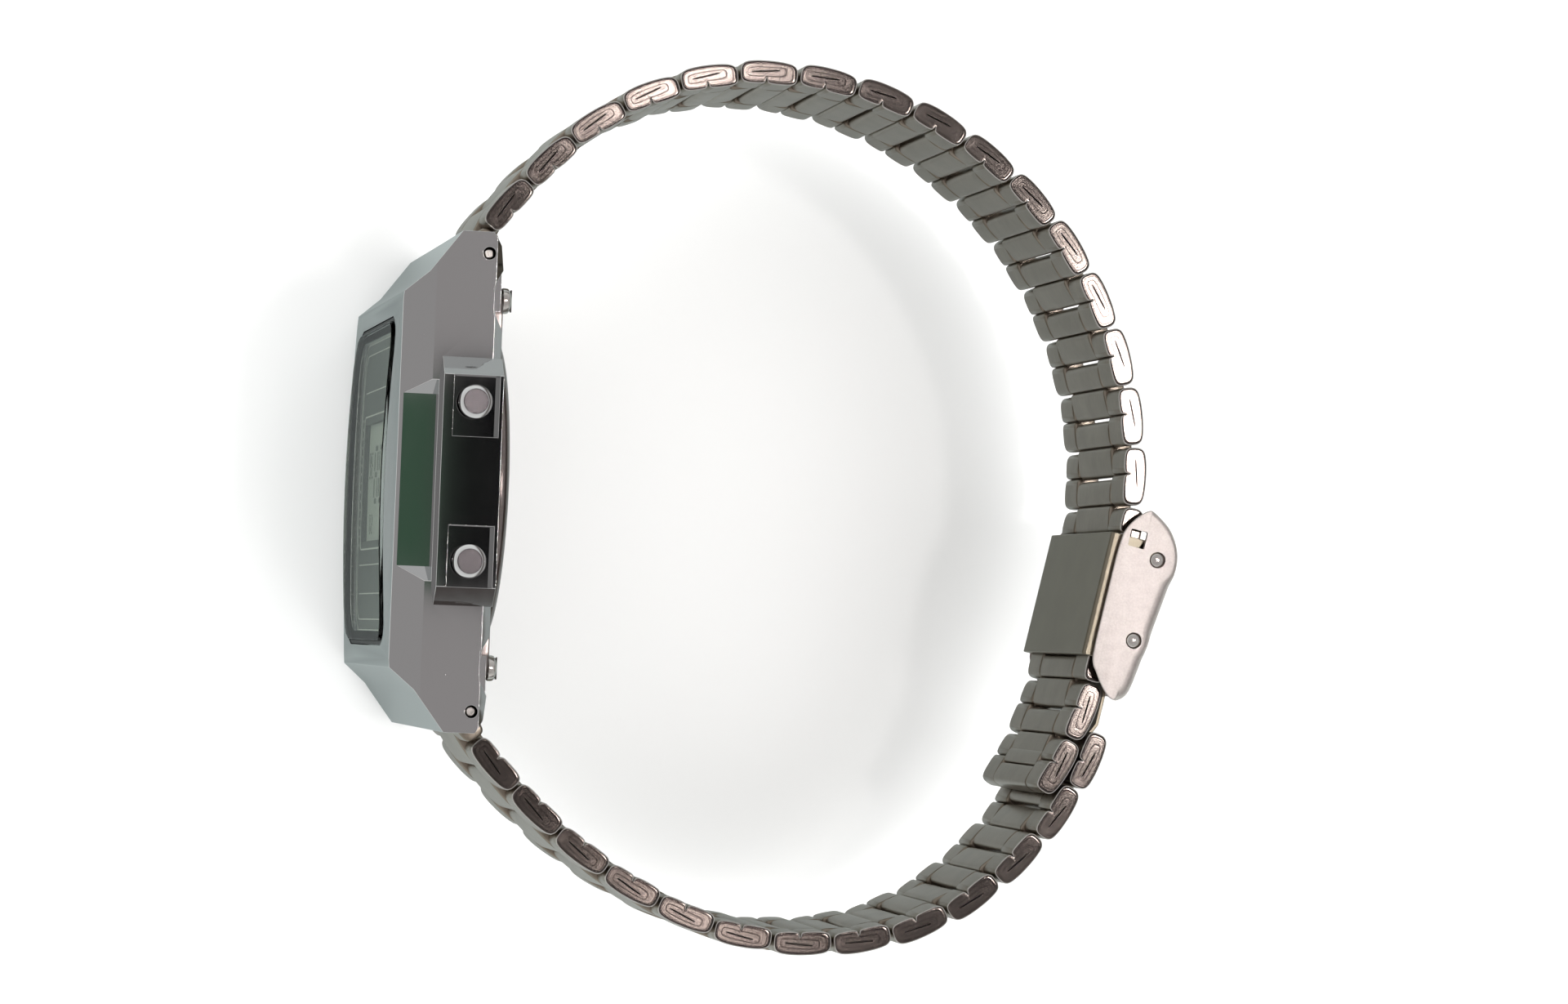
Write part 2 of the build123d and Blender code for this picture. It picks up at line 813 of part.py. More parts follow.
def clamp_sleeve():
    """The sleeve that slides on the band: floor, side walls, flaps and hinge ears."""
    inner = sleeve_inner_z()
    outer = inner + sleeve_sheet
    floor = sleeve_floor()
    flap_low = link_thickness / 2 + link_crown + sleeve_gap
    flap_high = flap_low + sleeve_sheet
    shape = block(sleeve_start, sleeve_end, floor, floor + sleeve_floor_sheet, -outer, outer)
    for side in (1, -1):
        low, high = sorted([side * inner, side * outer])
        shape = shape + block(sleeve_start, sleeve_end, floor, flap_low, low, high)
        shape = shape + block(sleeve_start, ear_back, flap_low, cover_pin_out, low, high)
        shape = shape + rod(cover_pin_along, cover_pin_out, ear_round, low, high)
        flap_z = sorted([side * outer, side * (outer - flap_width)])
        shape = shape + block(flap_start, flap_end, flap_low, flap_high, *flap_z)
        shape = shape - rod(cover_pin_along, cover_pin_out, cover_pin_radius + fit_gap,
                            low - overrun, high + overrun)
    return shape - rod(lock_start, lock_axis_out(), lock_pin_radius + fit_gap, -outer - overrun, outer + overrun)


def lock_axis_out():
    """Height of the lock plate's hinge above the band's middle."""
    return link_thickness / 2 + link_crown + sleeve_gap + lock_pin_radius


def lock_plate():
    """The plate that drops its tooth between two middle tubes to lock the sleeve's place."""
    out = lock_axis_out()
    low = out - lock_pin_radius
    half = sleeve_inner_z() - flap_width - lock_side_gap
    lock_end = hook_bar_along - cover_pin_radius - hook_tip_gap - hook_sheet - lock_end_gap
    plate = block(lock_start, lock_end, low, low + lock_sheet, -half, half)
    tooth_place = 5 * link_pitch / 4
    half_tooth = lock_tooth_width / 2
    tooth = block(tooth_place - half_tooth, tooth_place + half_tooth, low - lock_tooth_depth, low, -half, half)
    reach = sleeve_inner_z() + sleeve_sheet
    return plate + tooth + rod(lock_start, out, lock_pin_radius, -reach, reach)


def cover_points(shares, inward):
    """Points of the cover's outline, moved in from the outer side by a thickness."""
    points = []
    for along_share, out_share in shares:
        along = cover_start + cover_length * along_share
        points.append((along, cover_low + cover_height * out_share - inward))
    return points


def cover_half_width():
    """Outside of the cover's flanges."""
    return sleeve_inner_z() + sleeve_sheet + cover_side_gap + cover_sheet


def clasp_cover():
    """The folded cover: two flanges and an outer skin that starts beyond the hinge."""
    half = cover_half_width()
    outline = cover_brow_shares + cover_skin_shares + cover_heel_shares + cover_flange_shares
    shape = prism(cover_points(outline, 0), -half, half)
    skin = cover_points(cover_skin_shares, cover_sheet)
    low = cover_low - overrun
    high = cover_low + cover_height + overrun
    inner = [(cover_start - overrun, low), (cover_start - overrun, high), (cover_skin_start, high)]
    inner = inner + [(cover_skin_start, skin[0][1])] + skin[1:-1]
    inner = inner + [(cover_skin_end, skin[-1][1]), (cover_skin_end, high)]
    inner = inner + [(cover_start + cover_length + overrun, high), (cover_start + cover_length + overrun, low)]
    shape = shape - prism(inner, cover_sheet - half, half - cover_sheet)
    for along, out, radius in (
        (cover_pin_along, cover_pin_out, cover_pin_radius + fit_gap),
        (hook_bar_along, hook_bar_out, cover_pin_radius),
    ):
        shape = shape - rod(along, out, radius, -half - overrun, half + overrun)
    half_window = cover_window / 2
    return shape - block(cover_window_along - half_window, cover_window_along + half_window,
                         cover_window_out - half_window, cover_window_out + half_window,
                         half - cover_sheet - overrun, half + overrun)


def riveted_bar(along, out):
    """A bar across the cover with a low rivet head outside each flange."""
    half = cover_half_width()
    bar = rod(along, out, cover_pin_radius, -half, half)
    for side in (1, -1):
        low, high = sorted([side * half, side * (half + cover_pin_head_height)])
        bar = bar + rod(along, out, cover_pin_head_radius, low, high)
    return bar


def hook_plate():
    """Sheet hook in the clasp's frame: a tube on the last link, a bend, and a turned up tip."""
    under_bar = hook_bar_out - cover_pin_radius - hook_tip_gap - hook_sheet / 2
    beyond_bar = hook_bar_along - cover_pin_radius - hook_tip_gap - hook_sheet / 2
    line = [
        (hook_pivot_along, hook_pivot_out),
        (hook_rise_along, hook_rise_out),
        (hook_bend_along, hook_rise_out),
        (hook_bar_along + cover_pin_radius, under_bar),
        (beyond_bar, under_bar),
        (beyond_bar, hook_tip_out),
    ]
    sheet = prism(sheet_strip(line, hook_sheet), -hook_half_width, hook_half_width)
    knuckle = rod(hook_pivot_along, hook_pivot_out, link_thickness / 2, -hook_half_width, hook_half_width)
    flat_share = math.cos(math.pi / small_round_facets)
    bore = rod(hook_pivot_along, hook_pivot_out, (link_pin_radius + link_pin_clearance) / flat_share,
               -hook_half_width - overrun, hook_half_width + overrun)
    return sheet + knuckle - bore


def main():
    """Make every piece, move it to the part's frame and write it."""
    nodes = {
        "case_body": case_body(),
        "crystal_glass": crystal_glass(),
        "glass_gasket": glass_gasket(),
        "dial_panel": dial_panel(),
        "lcd_panel": lcd_panel(),
        "module_frame": module_frame(),
        "circuit_board": circuit_board(),
        "battery": battery(),
        "battery_strap": battery_strap(),
        "buzzer_disc": buzzer_disc(),
        "back_gasket": back_gasket(),
        "back_plate": back_plate(),
        "back_screws": back_screws(),
        "spring_bars": spring_bars(),
        "button_seals": button_seals(),
        "button_light": button(*button_places()[0]),
        "button_mode": button(*button_places()[1]),
        "button_alarm": button(*button_places()[2]),
    }
    pivots = {}
    link = band_link()
    long_directions = directions(long_half_directions, long_half_links)
    long_places = pins_along(1, long_end_link_direction, long_directions)
    nodes["long_end_link"] = end_link().moved(Location((*long_places[0], 0), (0, 0, long_end_link_direction)))
    pivots["long_end_link"] = long_places[0]
    for index, direction in enumerate(long_directions):
        name = f"long_link_{index + 1:02d}"
        shape = link if index + 1 < long_half_links else last_long_link()
        place = long_places[index + 1]
        nodes[name] = shape.moved(Location((*place, 0), (0, 0, direction)))
        pivots[name] = place

    clasp_place = long_places[links_before_clasp + 1]
    clasp_direction = long_directions[links_before_clasp]
    clasp = Location((*clasp_place, 0), (0, 0, clasp_direction))
    nodes["clamp_sleeve"] = clamp_sleeve().moved(clasp)
    nodes["lock_plate"] = lock_plate().moved(clasp)
    nodes["clasp_cover"] = clasp_cover().moved(clasp)
    nodes["cover_pin"] = riveted_bar(cover_pin_along, cover_pin_out).moved(clasp)
    nodes["hook_bar"] = riveted_bar(hook_bar_along, hook_bar_out).moved(clasp)
    nodes["hook_plate"] = hook_plate().moved(clasp)
    pivots["clasp_cover"] = in_clasp(clasp_place, clasp_direction, cover_pin_along, cover_pin_out)
    pivots["lock_plate"] = in_clasp(clasp_place, clasp_direction, lock_start, lock_axis_out())
    pivots["hook_plate"] = in_clasp(clasp_place, clasp_direction, hook_pivot_along, hook_pivot_out)
    pivots["hook_bar"] = in_clasp(clasp_place, clasp_direction, hook_bar_along, hook_bar_out)

    turn, curl = close_the_loop(pivots["hook_plate"])
    end_direction, short_directions = short_half_course(turn, curl)
    short_places = pins_along(-1, end_direction, short_directions)
    turned_over = 180
    nodes["short_end_link"] = end_link().moved(
        Location((*short_places[0], 0), (0, 0, end_direction)) * Location((0, 0, 0), (turned_over, 0, 0)))
    pivots["short_end_link"] = short_places[0]
    for index, direction in enumerate(short_directions):
        name = f"short_link_{index + 1:02d}"
        shape = link if index + 1 < short_half_links else last_short_link()
        place = Location((*short_places[index + 1], 0), (0, 0, direction))
        nodes[name] = shape.moved(place * Location((0, 0, 0), (turned_over, 0, 0)))
        pivots[name] = short_places[index + 1]

    box = Compound([solid for shape in nodes.values() for solid in shape.solids()]).bounding_box()
    shift = Location((-(box.min.X + box.max.X) / 2, -(box.min.Y + box.max.Y) / 2, -box.min.Z))
    print("loop closed with turn %.2f and curl %.3f degrees" % (turn, curl))
    print("size %.2f x %.2f x %.2f mm" % (box.size.X, box.size.Y, box.size.Z))
    print("shift %.4f %.4f %.4f" % tuple(shift.position))
    for name, place in pivots.items():
        print("pivot %s %.4f %.4f" % (name, place[0] + shift.position.X, place[1] + shift.position.Y))
    os.makedirs("parts", exist_ok=True)
    for name, shape in nodes.items():
        export_step(one_solid(shape).moved(shift), f"parts/{name}.step")


main()
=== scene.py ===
# %% [markdown]
# A square digital watch on a steel bracelet of folded links, lying on its side.
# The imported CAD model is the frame. Everything made here sits where the frame says, in metres,
# and is there for what the CAD solids leave out: rolled edges, folds, rivets, print and finish.

import json
import math

import bmesh
import bpy
import numpy as np
from mathutils import Matrix, Vector
from mathutils.geometry import tessellate_polygon


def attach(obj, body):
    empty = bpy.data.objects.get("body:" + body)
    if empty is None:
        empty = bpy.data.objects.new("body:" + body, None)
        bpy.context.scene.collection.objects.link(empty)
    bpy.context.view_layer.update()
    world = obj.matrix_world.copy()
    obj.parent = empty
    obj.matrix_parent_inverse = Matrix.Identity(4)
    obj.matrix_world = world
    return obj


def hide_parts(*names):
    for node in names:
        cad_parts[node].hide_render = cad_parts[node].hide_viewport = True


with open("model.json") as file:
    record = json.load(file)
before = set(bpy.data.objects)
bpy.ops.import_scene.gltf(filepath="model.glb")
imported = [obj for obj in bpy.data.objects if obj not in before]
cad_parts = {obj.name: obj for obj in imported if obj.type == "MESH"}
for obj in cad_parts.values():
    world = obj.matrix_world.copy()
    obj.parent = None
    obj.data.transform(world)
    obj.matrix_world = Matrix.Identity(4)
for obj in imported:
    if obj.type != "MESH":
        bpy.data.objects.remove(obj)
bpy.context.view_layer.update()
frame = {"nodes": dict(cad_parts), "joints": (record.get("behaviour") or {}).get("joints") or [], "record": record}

# %% [markdown]
# Places come from the frame's hinges. The spring bar of the 6 o'clock end is a hinge at
# (0, 17.55) of the drawing, so the drawing's origin, the middle of the case, follows from it.

# %% Places of hinges
MM = 0.001
joints = {row["name"]: row for row in frame["joints"]}


def hinge_point(name):
    """Where a node's hinge is, in millimetres."""
    return np.array(joints[name + "_hinge"]["pos_m"]) / MM


bar_y = 17.55
case_middle = hinge_point("long_end_link") - (0, bar_y, 0)
print("middle of the case, mm:", np.round(case_middle, 3))


def line_place(first, second):
    """Matrix of a place at the first point whose X axis looks at the second, in millimetres."""
    along = (second - first) / np.linalg.norm(second - first)
    place = np.eye(4)
    place[:3, 0] = along
    place[:3, 1] = (-along[1], along[0], 0)
    place[:3, 3] = first
    return place


def place_in_case(at, across, up, out):
    """Matrix of a place at a point of the case, with where its X, Y and Z look."""
    place = np.eye(4)
    place[:3, :3] = np.column_stack((across, up, out))
    place[:3, 3] = case_middle + at
    return place


def placed(points, place):
    """Points in a place: turn times point, plus origin."""
    return points @ place[:3, :3].T + place[:3, 3]


# %% [markdown]
# The camera stands on the 9 o'clock side, a little to the dial's side, at a distance of about
# 37 cm with a lens of a little over 100 mm, so perspective is weak. Its place and turn were worked
# out from the lug holes, the buttons and the course of the links.

# %% Camera
camera_from_case = (-47.43722582, -11.82409017, 365.42724904)
camera_turn = (0.02789225, -0.2018581, 0.0415973)
focal_share = 5626.17 / 1920
sensor_mm = 36

camera_data = bpy.data.cameras.new("camera")
camera_data.sensor_width = sensor_mm
camera_data.lens = focal_share * sensor_mm
camera_data.clip_start = 0.01
camera = bpy.data.objects.new("camera", camera_data)
turn_vector = Vector(camera_turn)
camera_move = Matrix.Translation(Vector((case_middle + camera_from_case) * MM))
camera_rotation = Matrix.Rotation(turn_vector.length, 4, turn_vector.normalized())
camera.matrix_world = camera_move @ camera_rotation
bpy.context.scene.collection.objects.link(camera)
bpy.context.scene.camera = camera
print("camera lens:", round(camera_data.lens, 2), "mm")

# %% [markdown]
# Grids of points carry every new shape. A closed outline is repeated as rings, each ring
# moved along and drawn in a little, and quads join each ring to the next.

# %% Grids and outlines


def ring_quads(ring_count, ring_size):
    """Quads between following rings: point i and i + 1 of ring k with the same of ring k + 1."""
    ring = np.arange(ring_count - 1)[:, None] * ring_size
    here = np.arange(ring_size)[None, :]
    after = (here + 1) % ring_size
    quads = (ring + here, ring + after, ring + ring_size + after, ring + ring_size + here)
    return np.stack(quads, -1).reshape(-1, 4)


def strip_quads(row_count, row_size):
    """Quads between following open rows of points."""
    row = np.arange(row_count - 1)[:, None] * row_size
    here = np.arange(row_size - 1)[None, :]
    quads = (row + here, row + here + 1, row + row_size + here + 1, row + row_size + here)
    return np.stack(quads, -1).reshape(-1, 4)


def cut_corners(points, rounds):
    """Each side of a closed outline keeps its points at a quarter and three quarters, in rounds."""
    points = np.asarray(points, float)
    for _ in range(rounds):
        after = np.roll(points, -1, axis=0)
        pair = (0.75 * points + 0.25 * after, 0.25 * points + 0.75 * after)
        points = np.stack(pair, 1).reshape(-1, 2)
    return points


def outline_normals(points):
    """Outward normals of an anticlockwise outline: the chord past each point, turned right."""
    chord = np.roll(points, -1, axis=0) - np.roll(points, 1, axis=0)
    chord /= np.linalg.norm(chord, axis=1)[:, None] + 1e-12
    return np.stack((chord[:, 1], -chord[:, 0]), 1)


def at_height(points, z):
    """Outline points lifted to a height, which may differ from point to point."""
    return np.column_stack((points, np.broadcast_to(z, len(points))))


def rounded_rectangle(half_x, half_y, radius, steps=6):
    """A rectangle with round corners, anticlockwise: corner centre + radius times (cos t, sin t)."""
    quarter = np.arange(4)[:, None] * math.pi / 2
    turn = quarter + np.linspace(0, math.pi / 2, steps)[None, :]
    corner_x = np.array([1, -1, -1, 1])[:, None] * (half_x - radius)
    corner_y = np.array([1, 1, -1, -1])[:, None] * (half_y - radius)
    corners = (corner_x + radius * np.cos(turn), corner_y + radius * np.sin(turn))
    return np.stack(corners, -1).reshape(-1, 2)


def turned(profile, segments=48):
    """A profile of (radius, height) carried round Z: x = r cos t, y = r sin t."""
    profile = np.asarray(profile, float)
    turn = np.linspace(0, 2 * math.pi, segments, endpoint=False)
    x = profile[:, 0][:, None] * np.cos(turn)
    y = profile[:, 0][:, None] * np.sin(turn)
    z = np.broadcast_to(profile[:, 1][:, None], x.shape)
    return np.stack((x, y, z), -1).reshape(-1, 3), ring_quads(len(profile), segments)


def joined(parts):
    """Several (points, quads) grids as one."""
    points, quads, start = [], [], 0
    for part_points, part_quads in parts:
        points.append(part_points)
        quads.append(part_quads + start)
        start += len(part_points)
    return np.vstack(points), np.vstack(quads)


print("a disc of 48 sides:", len(turned([(0, 0), (1, 0)])[1]), "quads")

# %% [markdown]
# A piece is a mesh at the origin whose points are already in their place. Points that meet are
# merged, so seams and poles are closed, and edges sharper than an angle stay sharp in shading.
# Smooth shading alone would bend the look of flat faces beside a round, so the shading of each
# point is given to the largest faces at it.

# %% Making a piece
merge_distance = 2e-7
made = []


def add_piece(name, points, faces, place, body, replaced, materials, face_materials=None,
              sharp=35, fold=None):
    """Points in millimetres in a place, as one object that rides on a body.

    A face whose last two points are one is a triangle. Fold is an attribute for the ends of links.
    """
    world = placed(points, place) * MM
    whole = faces[:, 2] != faces[:, 3]
    mesh = bpy.data.meshes.new(name)
    mesh.from_pydata(world.tolist(), [], faces[whole].tolist() + faces[~whole, :3].tolist())
    if face_materials is not None:
        mesh.polygons.foreach_set("material_index", np.asarray(face_materials, np.int32))
    if fold is not None:
        shares = mesh.attributes.new("fold", "FLOAT", "POINT")
        shares.data.foreach_set("value", np.asarray(fold, np.float32))
    obj = finish_piece(name, mesh, body, replaced, materials, sharp)
    flat = obj.modifiers.new("flat_faces", "WEIGHTED_NORMAL")
    flat.weight = 90
    flat.keep_sharp = True
    return obj


def open_edges(mesh):
    """Which edges of a mesh have one face only."""
    edge_of_corner = np.zeros(len(mesh.loops), np.int32)
    mesh.loops.foreach_get("edge_index", edge_of_corner)
    return np.bincount(edge_of_corner, minlength=len(mesh.edges)) == 1


def finish_piece(name, mesh, body, replaced, materials, sharp=35):
    """Merges, shades and registers a mesh. Steep edges and the rims of open sheets stay sharp."""
    cleaner = bmesh.new()
    cleaner.from_mesh(mesh)
    bmesh.ops.remove_doubles(cleaner, verts=cleaner.verts, dist=merge_distance)
    bmesh.ops.dissolve_degenerate(cleaner, edges=cleaner.edges, dist=merge_distance)
    cleaner.to_mesh(mesh)
    cleaner.free()
    if sharp:
        mesh.shade_smooth()
        mesh.set_sharp_from_angle(angle=math.radians(sharp))
        flags = np.zeros(len(mesh.edges), bool)
        edges = mesh.attributes["sharp_edge"].data
        edges.foreach_get("value", flags)
        edges.foreach_set("value", flags | open_edges(mesh))
    for material in materials:
        mesh.materials.append(material)
    obj = bpy.data.objects.new(name, mesh)
    bpy.context.scene.collection.objects.link(obj)
    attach(obj, body)
    if replaced:
        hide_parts(*replaced)
    made.append(name)
    return obj


print("points closer than", merge_distance, "m are merged")

# %% [markdown]
# Where a CAD solid has the right shape and only its edges are too sharp, a copy of its mesh is
# merged and beveled. Polished metal shows every bent normal, so the rounds and the flats then get
# exact ones: flat faces keep their own, and a round leads from one flat to the next.

# %% Rounded copies of CAD nodes
flat_angle = 0.3
round_reach = 60


def crisp_normals(mesh, limit, round_slot=1):
    """Corner normals of a mesh with rounded edges.

    Normal = sum of area cubed times normal, over the faces at the point that lie within an angle
    of the corner's own face, made unit length. The angle is the limit, and wider for a round.
    """
    corners, faces = len(mesh.loops), len(mesh.polygons)
    vertex = np.empty(corners, np.int32)
    sizes, slots = np.empty(faces, np.int32), np.empty(faces, np.int32)
    area, normal = np.empty(faces), np.empty(faces * 3)
    mesh.loops.foreach_get("vertex_index", vertex)
    mesh.polygons.foreach_get("loop_total", sizes)
    mesh.polygons.foreach_get("material_index", slots)
    mesh.polygons.foreach_get("area", area)
    mesh.polygons.foreach_get("normal", normal)
    normal = normal.reshape(-1, 3)
    order = np.argsort(vertex, kind="stable")
    vertex, face = vertex[order], np.repeat(np.arange(faces), sizes)[order]
    least = np.cos(np.radians(np.where(slots == round_slot, round_reach, limit)))[face]
    total = np.zeros((corners, 3))
    most = np.bincount(vertex).max()
    for shift in range(1 - most, most):
        other = np.clip(np.arange(corners) + shift, 0, corners - 1)
        counts = (np.arange(corners) + shift == other) & (vertex[other] == vertex)
        counts &= (normal[face] * normal[face[other]]).sum(axis=1) > least
        total += np.where(counts, area[face[other]] ** 3, 0)[:, None] * normal[face[other]]
    shading = np.empty((corners, 3))
    shading[order] = total / np.linalg.norm(total, axis=1)[:, None]
    mesh.normals_split_custom_set(shading)


def softened_copy(name, node, body, materials, width, segments=2, limit=20):
    """A copy of a CAD node whose outer edges steeper than the limit are rounded.

    A second material, if there is one, goes on the rounds.
    """
    mesh = frame["nodes"][node].data.copy()
    mesh.materials.clear()
    mesh.shade_smooth()
    cleaner = bmesh.new()
    cleaner.from_mesh(mesh)
    bmesh.ops.remove_doubles(cleaner, verts=cleaner.verts, dist=merge_distance)
    bmesh.ops.dissolve_limit(cleaner, angle_limit=math.radians(flat_angle), verts=cleaner.verts,
                             edges=cleaner.edges)
    weight = cleaner.edges.layers.float.new("bevel_weight_edge")
    for edge in cleaner.edges:
        edge[weight] = float(edge.is_convex and edge.calc_face_angle(0) > math.radians(limit))
    cleaner.to_mesh(mesh)
    cleaner.free()
    obj = finish_piece(name, mesh, body, [node], [materials[0], materials[-1]], sharp=None)
    bevel = obj.modifiers.new("soft_edges", "BEVEL")
    bevel.width = width * MM
    bevel.segments = segments
    bevel.limit_method = "WEIGHT"
    bevel.material = 1
    graph = bpy.context.evaluated_depsgraph_get()
    rounded = bpy.data.meshes.new_from_object(obj.evaluated_get(graph))
    obj.modifiers.clear()
    obj.data = rounded
    bpy.data.meshes.remove(mesh)
    rounded.name = name
    crisp_normals(rounded, limit - 2)
    return obj


print("nodes that may be copied:", len(frame["nodes"]))

# %% [markdown]
# Every finish is a node tree round one Principled shader. One function adds a node with its
# settings and its links, and colours are written as sRGB hex and turned to linear by one function.
# Patterns are noises on Object coordinates, scaled by their real number of grains per millimetre.

# %% Material helpers


def linear(hex_colour, times=1.0):
    """sRGB hex to linear: c / 12.92 below 0.04045, else ((c + 0.055) / 1.055) to the power 2.4."""
    channels = np.array([int(hex_colour[i:i + 2], 16) for i in (1, 3, 5)]) / 255
    low = channels / 12.92
    high = ((channels + 0.055) / 1.055) ** 2.4
    return (*(np.where(channels <= 0.04045, low, high) * times).tolist(), 1.0)


def add_node(tree, kind, sockets=None, settings=None, stops=None, out=0):
    """Adds a node, sets its properties, sets or links its inputs, and gives one of its outputs.

    Sockets: input name or number to a plain value or another node's output. Stops: the places
    and hex colours of a colour ramp.
    """
    node = tree.nodes.new(kind)
    for key, value in (settings or {}).items():
        setattr(node, key, value)
    for key, value in (sockets or {}).items():
        if isinstance(value, bpy.types.NodeSocket):
            tree.links.new(value, node.inputs[key])
        else:
            node.inputs[key].default_value = value
    if stops:
        elements = node.color_ramp.elements
        while len(elements) < len(stops):
            elements.new(0.5)
        for element, (place, colour) in zip(elements, stops):
            element.position = place
            element.color = linear(colour)
    return node.outputs[out] if len(node.outputs) else None


def new_material(name):
    """An empty node material, and the Object coordinates that its patterns read."""
    material = bpy.data.materials.new(name)
    material.use_nodes = True
    tree = material.node_tree
    tree.nodes.clear()
    return material, tree, add_node(tree, "ShaderNodeTexCoord", out="Object")


def grains(tree, coordinates, per_mm, detail=3, rough=0.55):
    """A noise with so many grains per millimetre along X, Y and Z: coordinates times count / mm."""
    scale = tuple(count / MM for count in per_mm)
    scaled = add_node(tree, "ShaderNodeMapping", {"Vector": coordinates, "Scale": scale})
    return add_node(tree, "ShaderNodeTexNoise",
                    {"Vector": scaled, "Scale": 1.0, "Detail": detail, "Roughness": rough})


def finish(tree, gloss, roughness, sockets, relief=None, depth_mm=0.0, strength=1.0, dust=None):
    """The end of every finish: the Principled shader, how rough and how bumpy it is, the output.

    Roughness goes from its first value to its second as the gloss pattern goes from 0 to 1, plus
    dust. Relief is the height pattern of the surface, with its real depth.
    """
    rough = add_node(tree, "ShaderNodeMapRange",
                     {"Value": gloss, "To Min": roughness[0], "To Max": roughness[1]})
    if dust is not None:
        rough = add_node(tree, "ShaderNodeMath", {0: rough, 1: dust}, {"operation": "ADD"})
    sockets = {"Roughness": rough, **sockets}
    if relief is not None:
        sockets["Normal"] = add_node(
            tree, "ShaderNodeBump",
            {"Height": relief, "Distance": depth_mm * MM, "Strength": strength})
    shader = add_node(tree, "ShaderNodeBsdfPrincipled", sockets)
    add_node(tree, "ShaderNodeOutputMaterial", {"Surface": shader})


print("grey #808080 in linear light:", round(linear("#808080")[0], 3))

# %% [markdown]
# Chrome plate on the moulded or cast case is a mirror: what it shows is its surroundings, so it
# needs a high metallic value, next to no roughness and a very slow waviness that bends the
# reflections the way buffing does. Wiping leaves smears that are a little less glossy, and fine
# dust shows as small dull specks. The rounds between the facets are a little duller, and their
# paler colour is a painted highlight. Chromium dips at a grazing angle, and a small tint there says so.

# %% Chrome plate, buffed
smear_grains, dust_grains = (0.35, 0.12, 0.35), (3.2, 3.2, 3.2)
dust_from, dust_full, dust_roughness = 0.75, 0.80, 0.3


def chrome_plate(name, colour, roughness, wave_mm=5.0, wave_depth=0.0006, grazing=0.8):
    """A mirror with waves so long and so deep, and a share of light left at a grazing angle."""
    material, tree, coordinates = new_material(name)
    waves = grains(tree, coordinates, (1 / wave_mm,) * 3, detail=1)
    smears = grains(tree, coordinates, smear_grains, detail=4, rough=0.6)
    specks = grains(tree, coordinates, dust_grains, detail=2, rough=0.7)
    dust = add_node(tree, "ShaderNodeMapRange",
                    {"Value": specks, "From Min": dust_from, "From Max": dust_full,
                     "To Min": 0.0, "To Max": dust_roughness})
    finish(tree, smears, (roughness * 0.6, roughness * 1.5),
           {"Base Color": linear(colour), "Metallic": 1.0,
            "Specular Tint": (grazing, grazing * 1.04, grazing * 1.04, 1.0)},
           waves, wave_depth, dust=dust)
    return material


case_chrome = chrome_plate("chrome_plate_buffed", "#b1afaf", 0.035)
# the rounds' paler plate: its colour is a painted highlight
highlight_chrome = chrome_plate("chrome_plate_rounds_painted_highlight", "#dedcdb", 0.1, grazing=0.9)
button_chrome = chrome_plate("chrome_plate_button", "#827b7d", 0.15, wave_mm=0.6,
                             wave_depth=0.0012)
print("chrome plates:", case_chrome.name, highlight_chrome.name, button_chrome.name)

# %% [markdown]
# The links are pressed from stainless strip. Their long faces keep the fine lines of the rolling
# mill and a satin sheen, while their ends are ground: a coarse grain that runs with the fold and
# darkens beside its seams, on dark steel tones that are painted shade. The rims between the two
# are a little smoother, and their pale tones are a painted highlight. The real lines are tens to the
# millimetre, too fine to show, so they are drawn as coarse as they need to be.

# %% Stainless steels of the bracelet


def satin_steel(name, dark, light, roughness, lines=(1.2, 1.2, 14.0), depth=0.0012, blotch_mm=3.0):
    """Satin steel: blotches of two close tones, with so many fine lines per millimetre."""
    material, tree, coordinates = new_material(name)
    fine = grains(tree, coordinates, lines, detail=2, rough=0.6)
    blotches = grains(tree, coordinates, (1 / blotch_mm,) * 3, detail=4)
    tone = add_node(tree, "ShaderNodeMix", {"Factor": 0.45, "A": fine, "B": blotches},
                    {"data_type": "FLOAT"}, out="Result")
    colour = add_node(tree, "ShaderNodeValToRGB", {"Fac": tone}, stops=[(0.3, dark), (0.7, light)])
    finish(tree, fine, (roughness * 0.85, roughness * 1.2),
           {"Base Color": colour, "Metallic": 1.0}, fine, depth)
    return material


scratch_turns, seam_turns = 9.0, 2.5     # scratches and seams from the rim of an end to its slit
seam_from, seam_full, seam_dark = 0.36, 0.48, 0.55


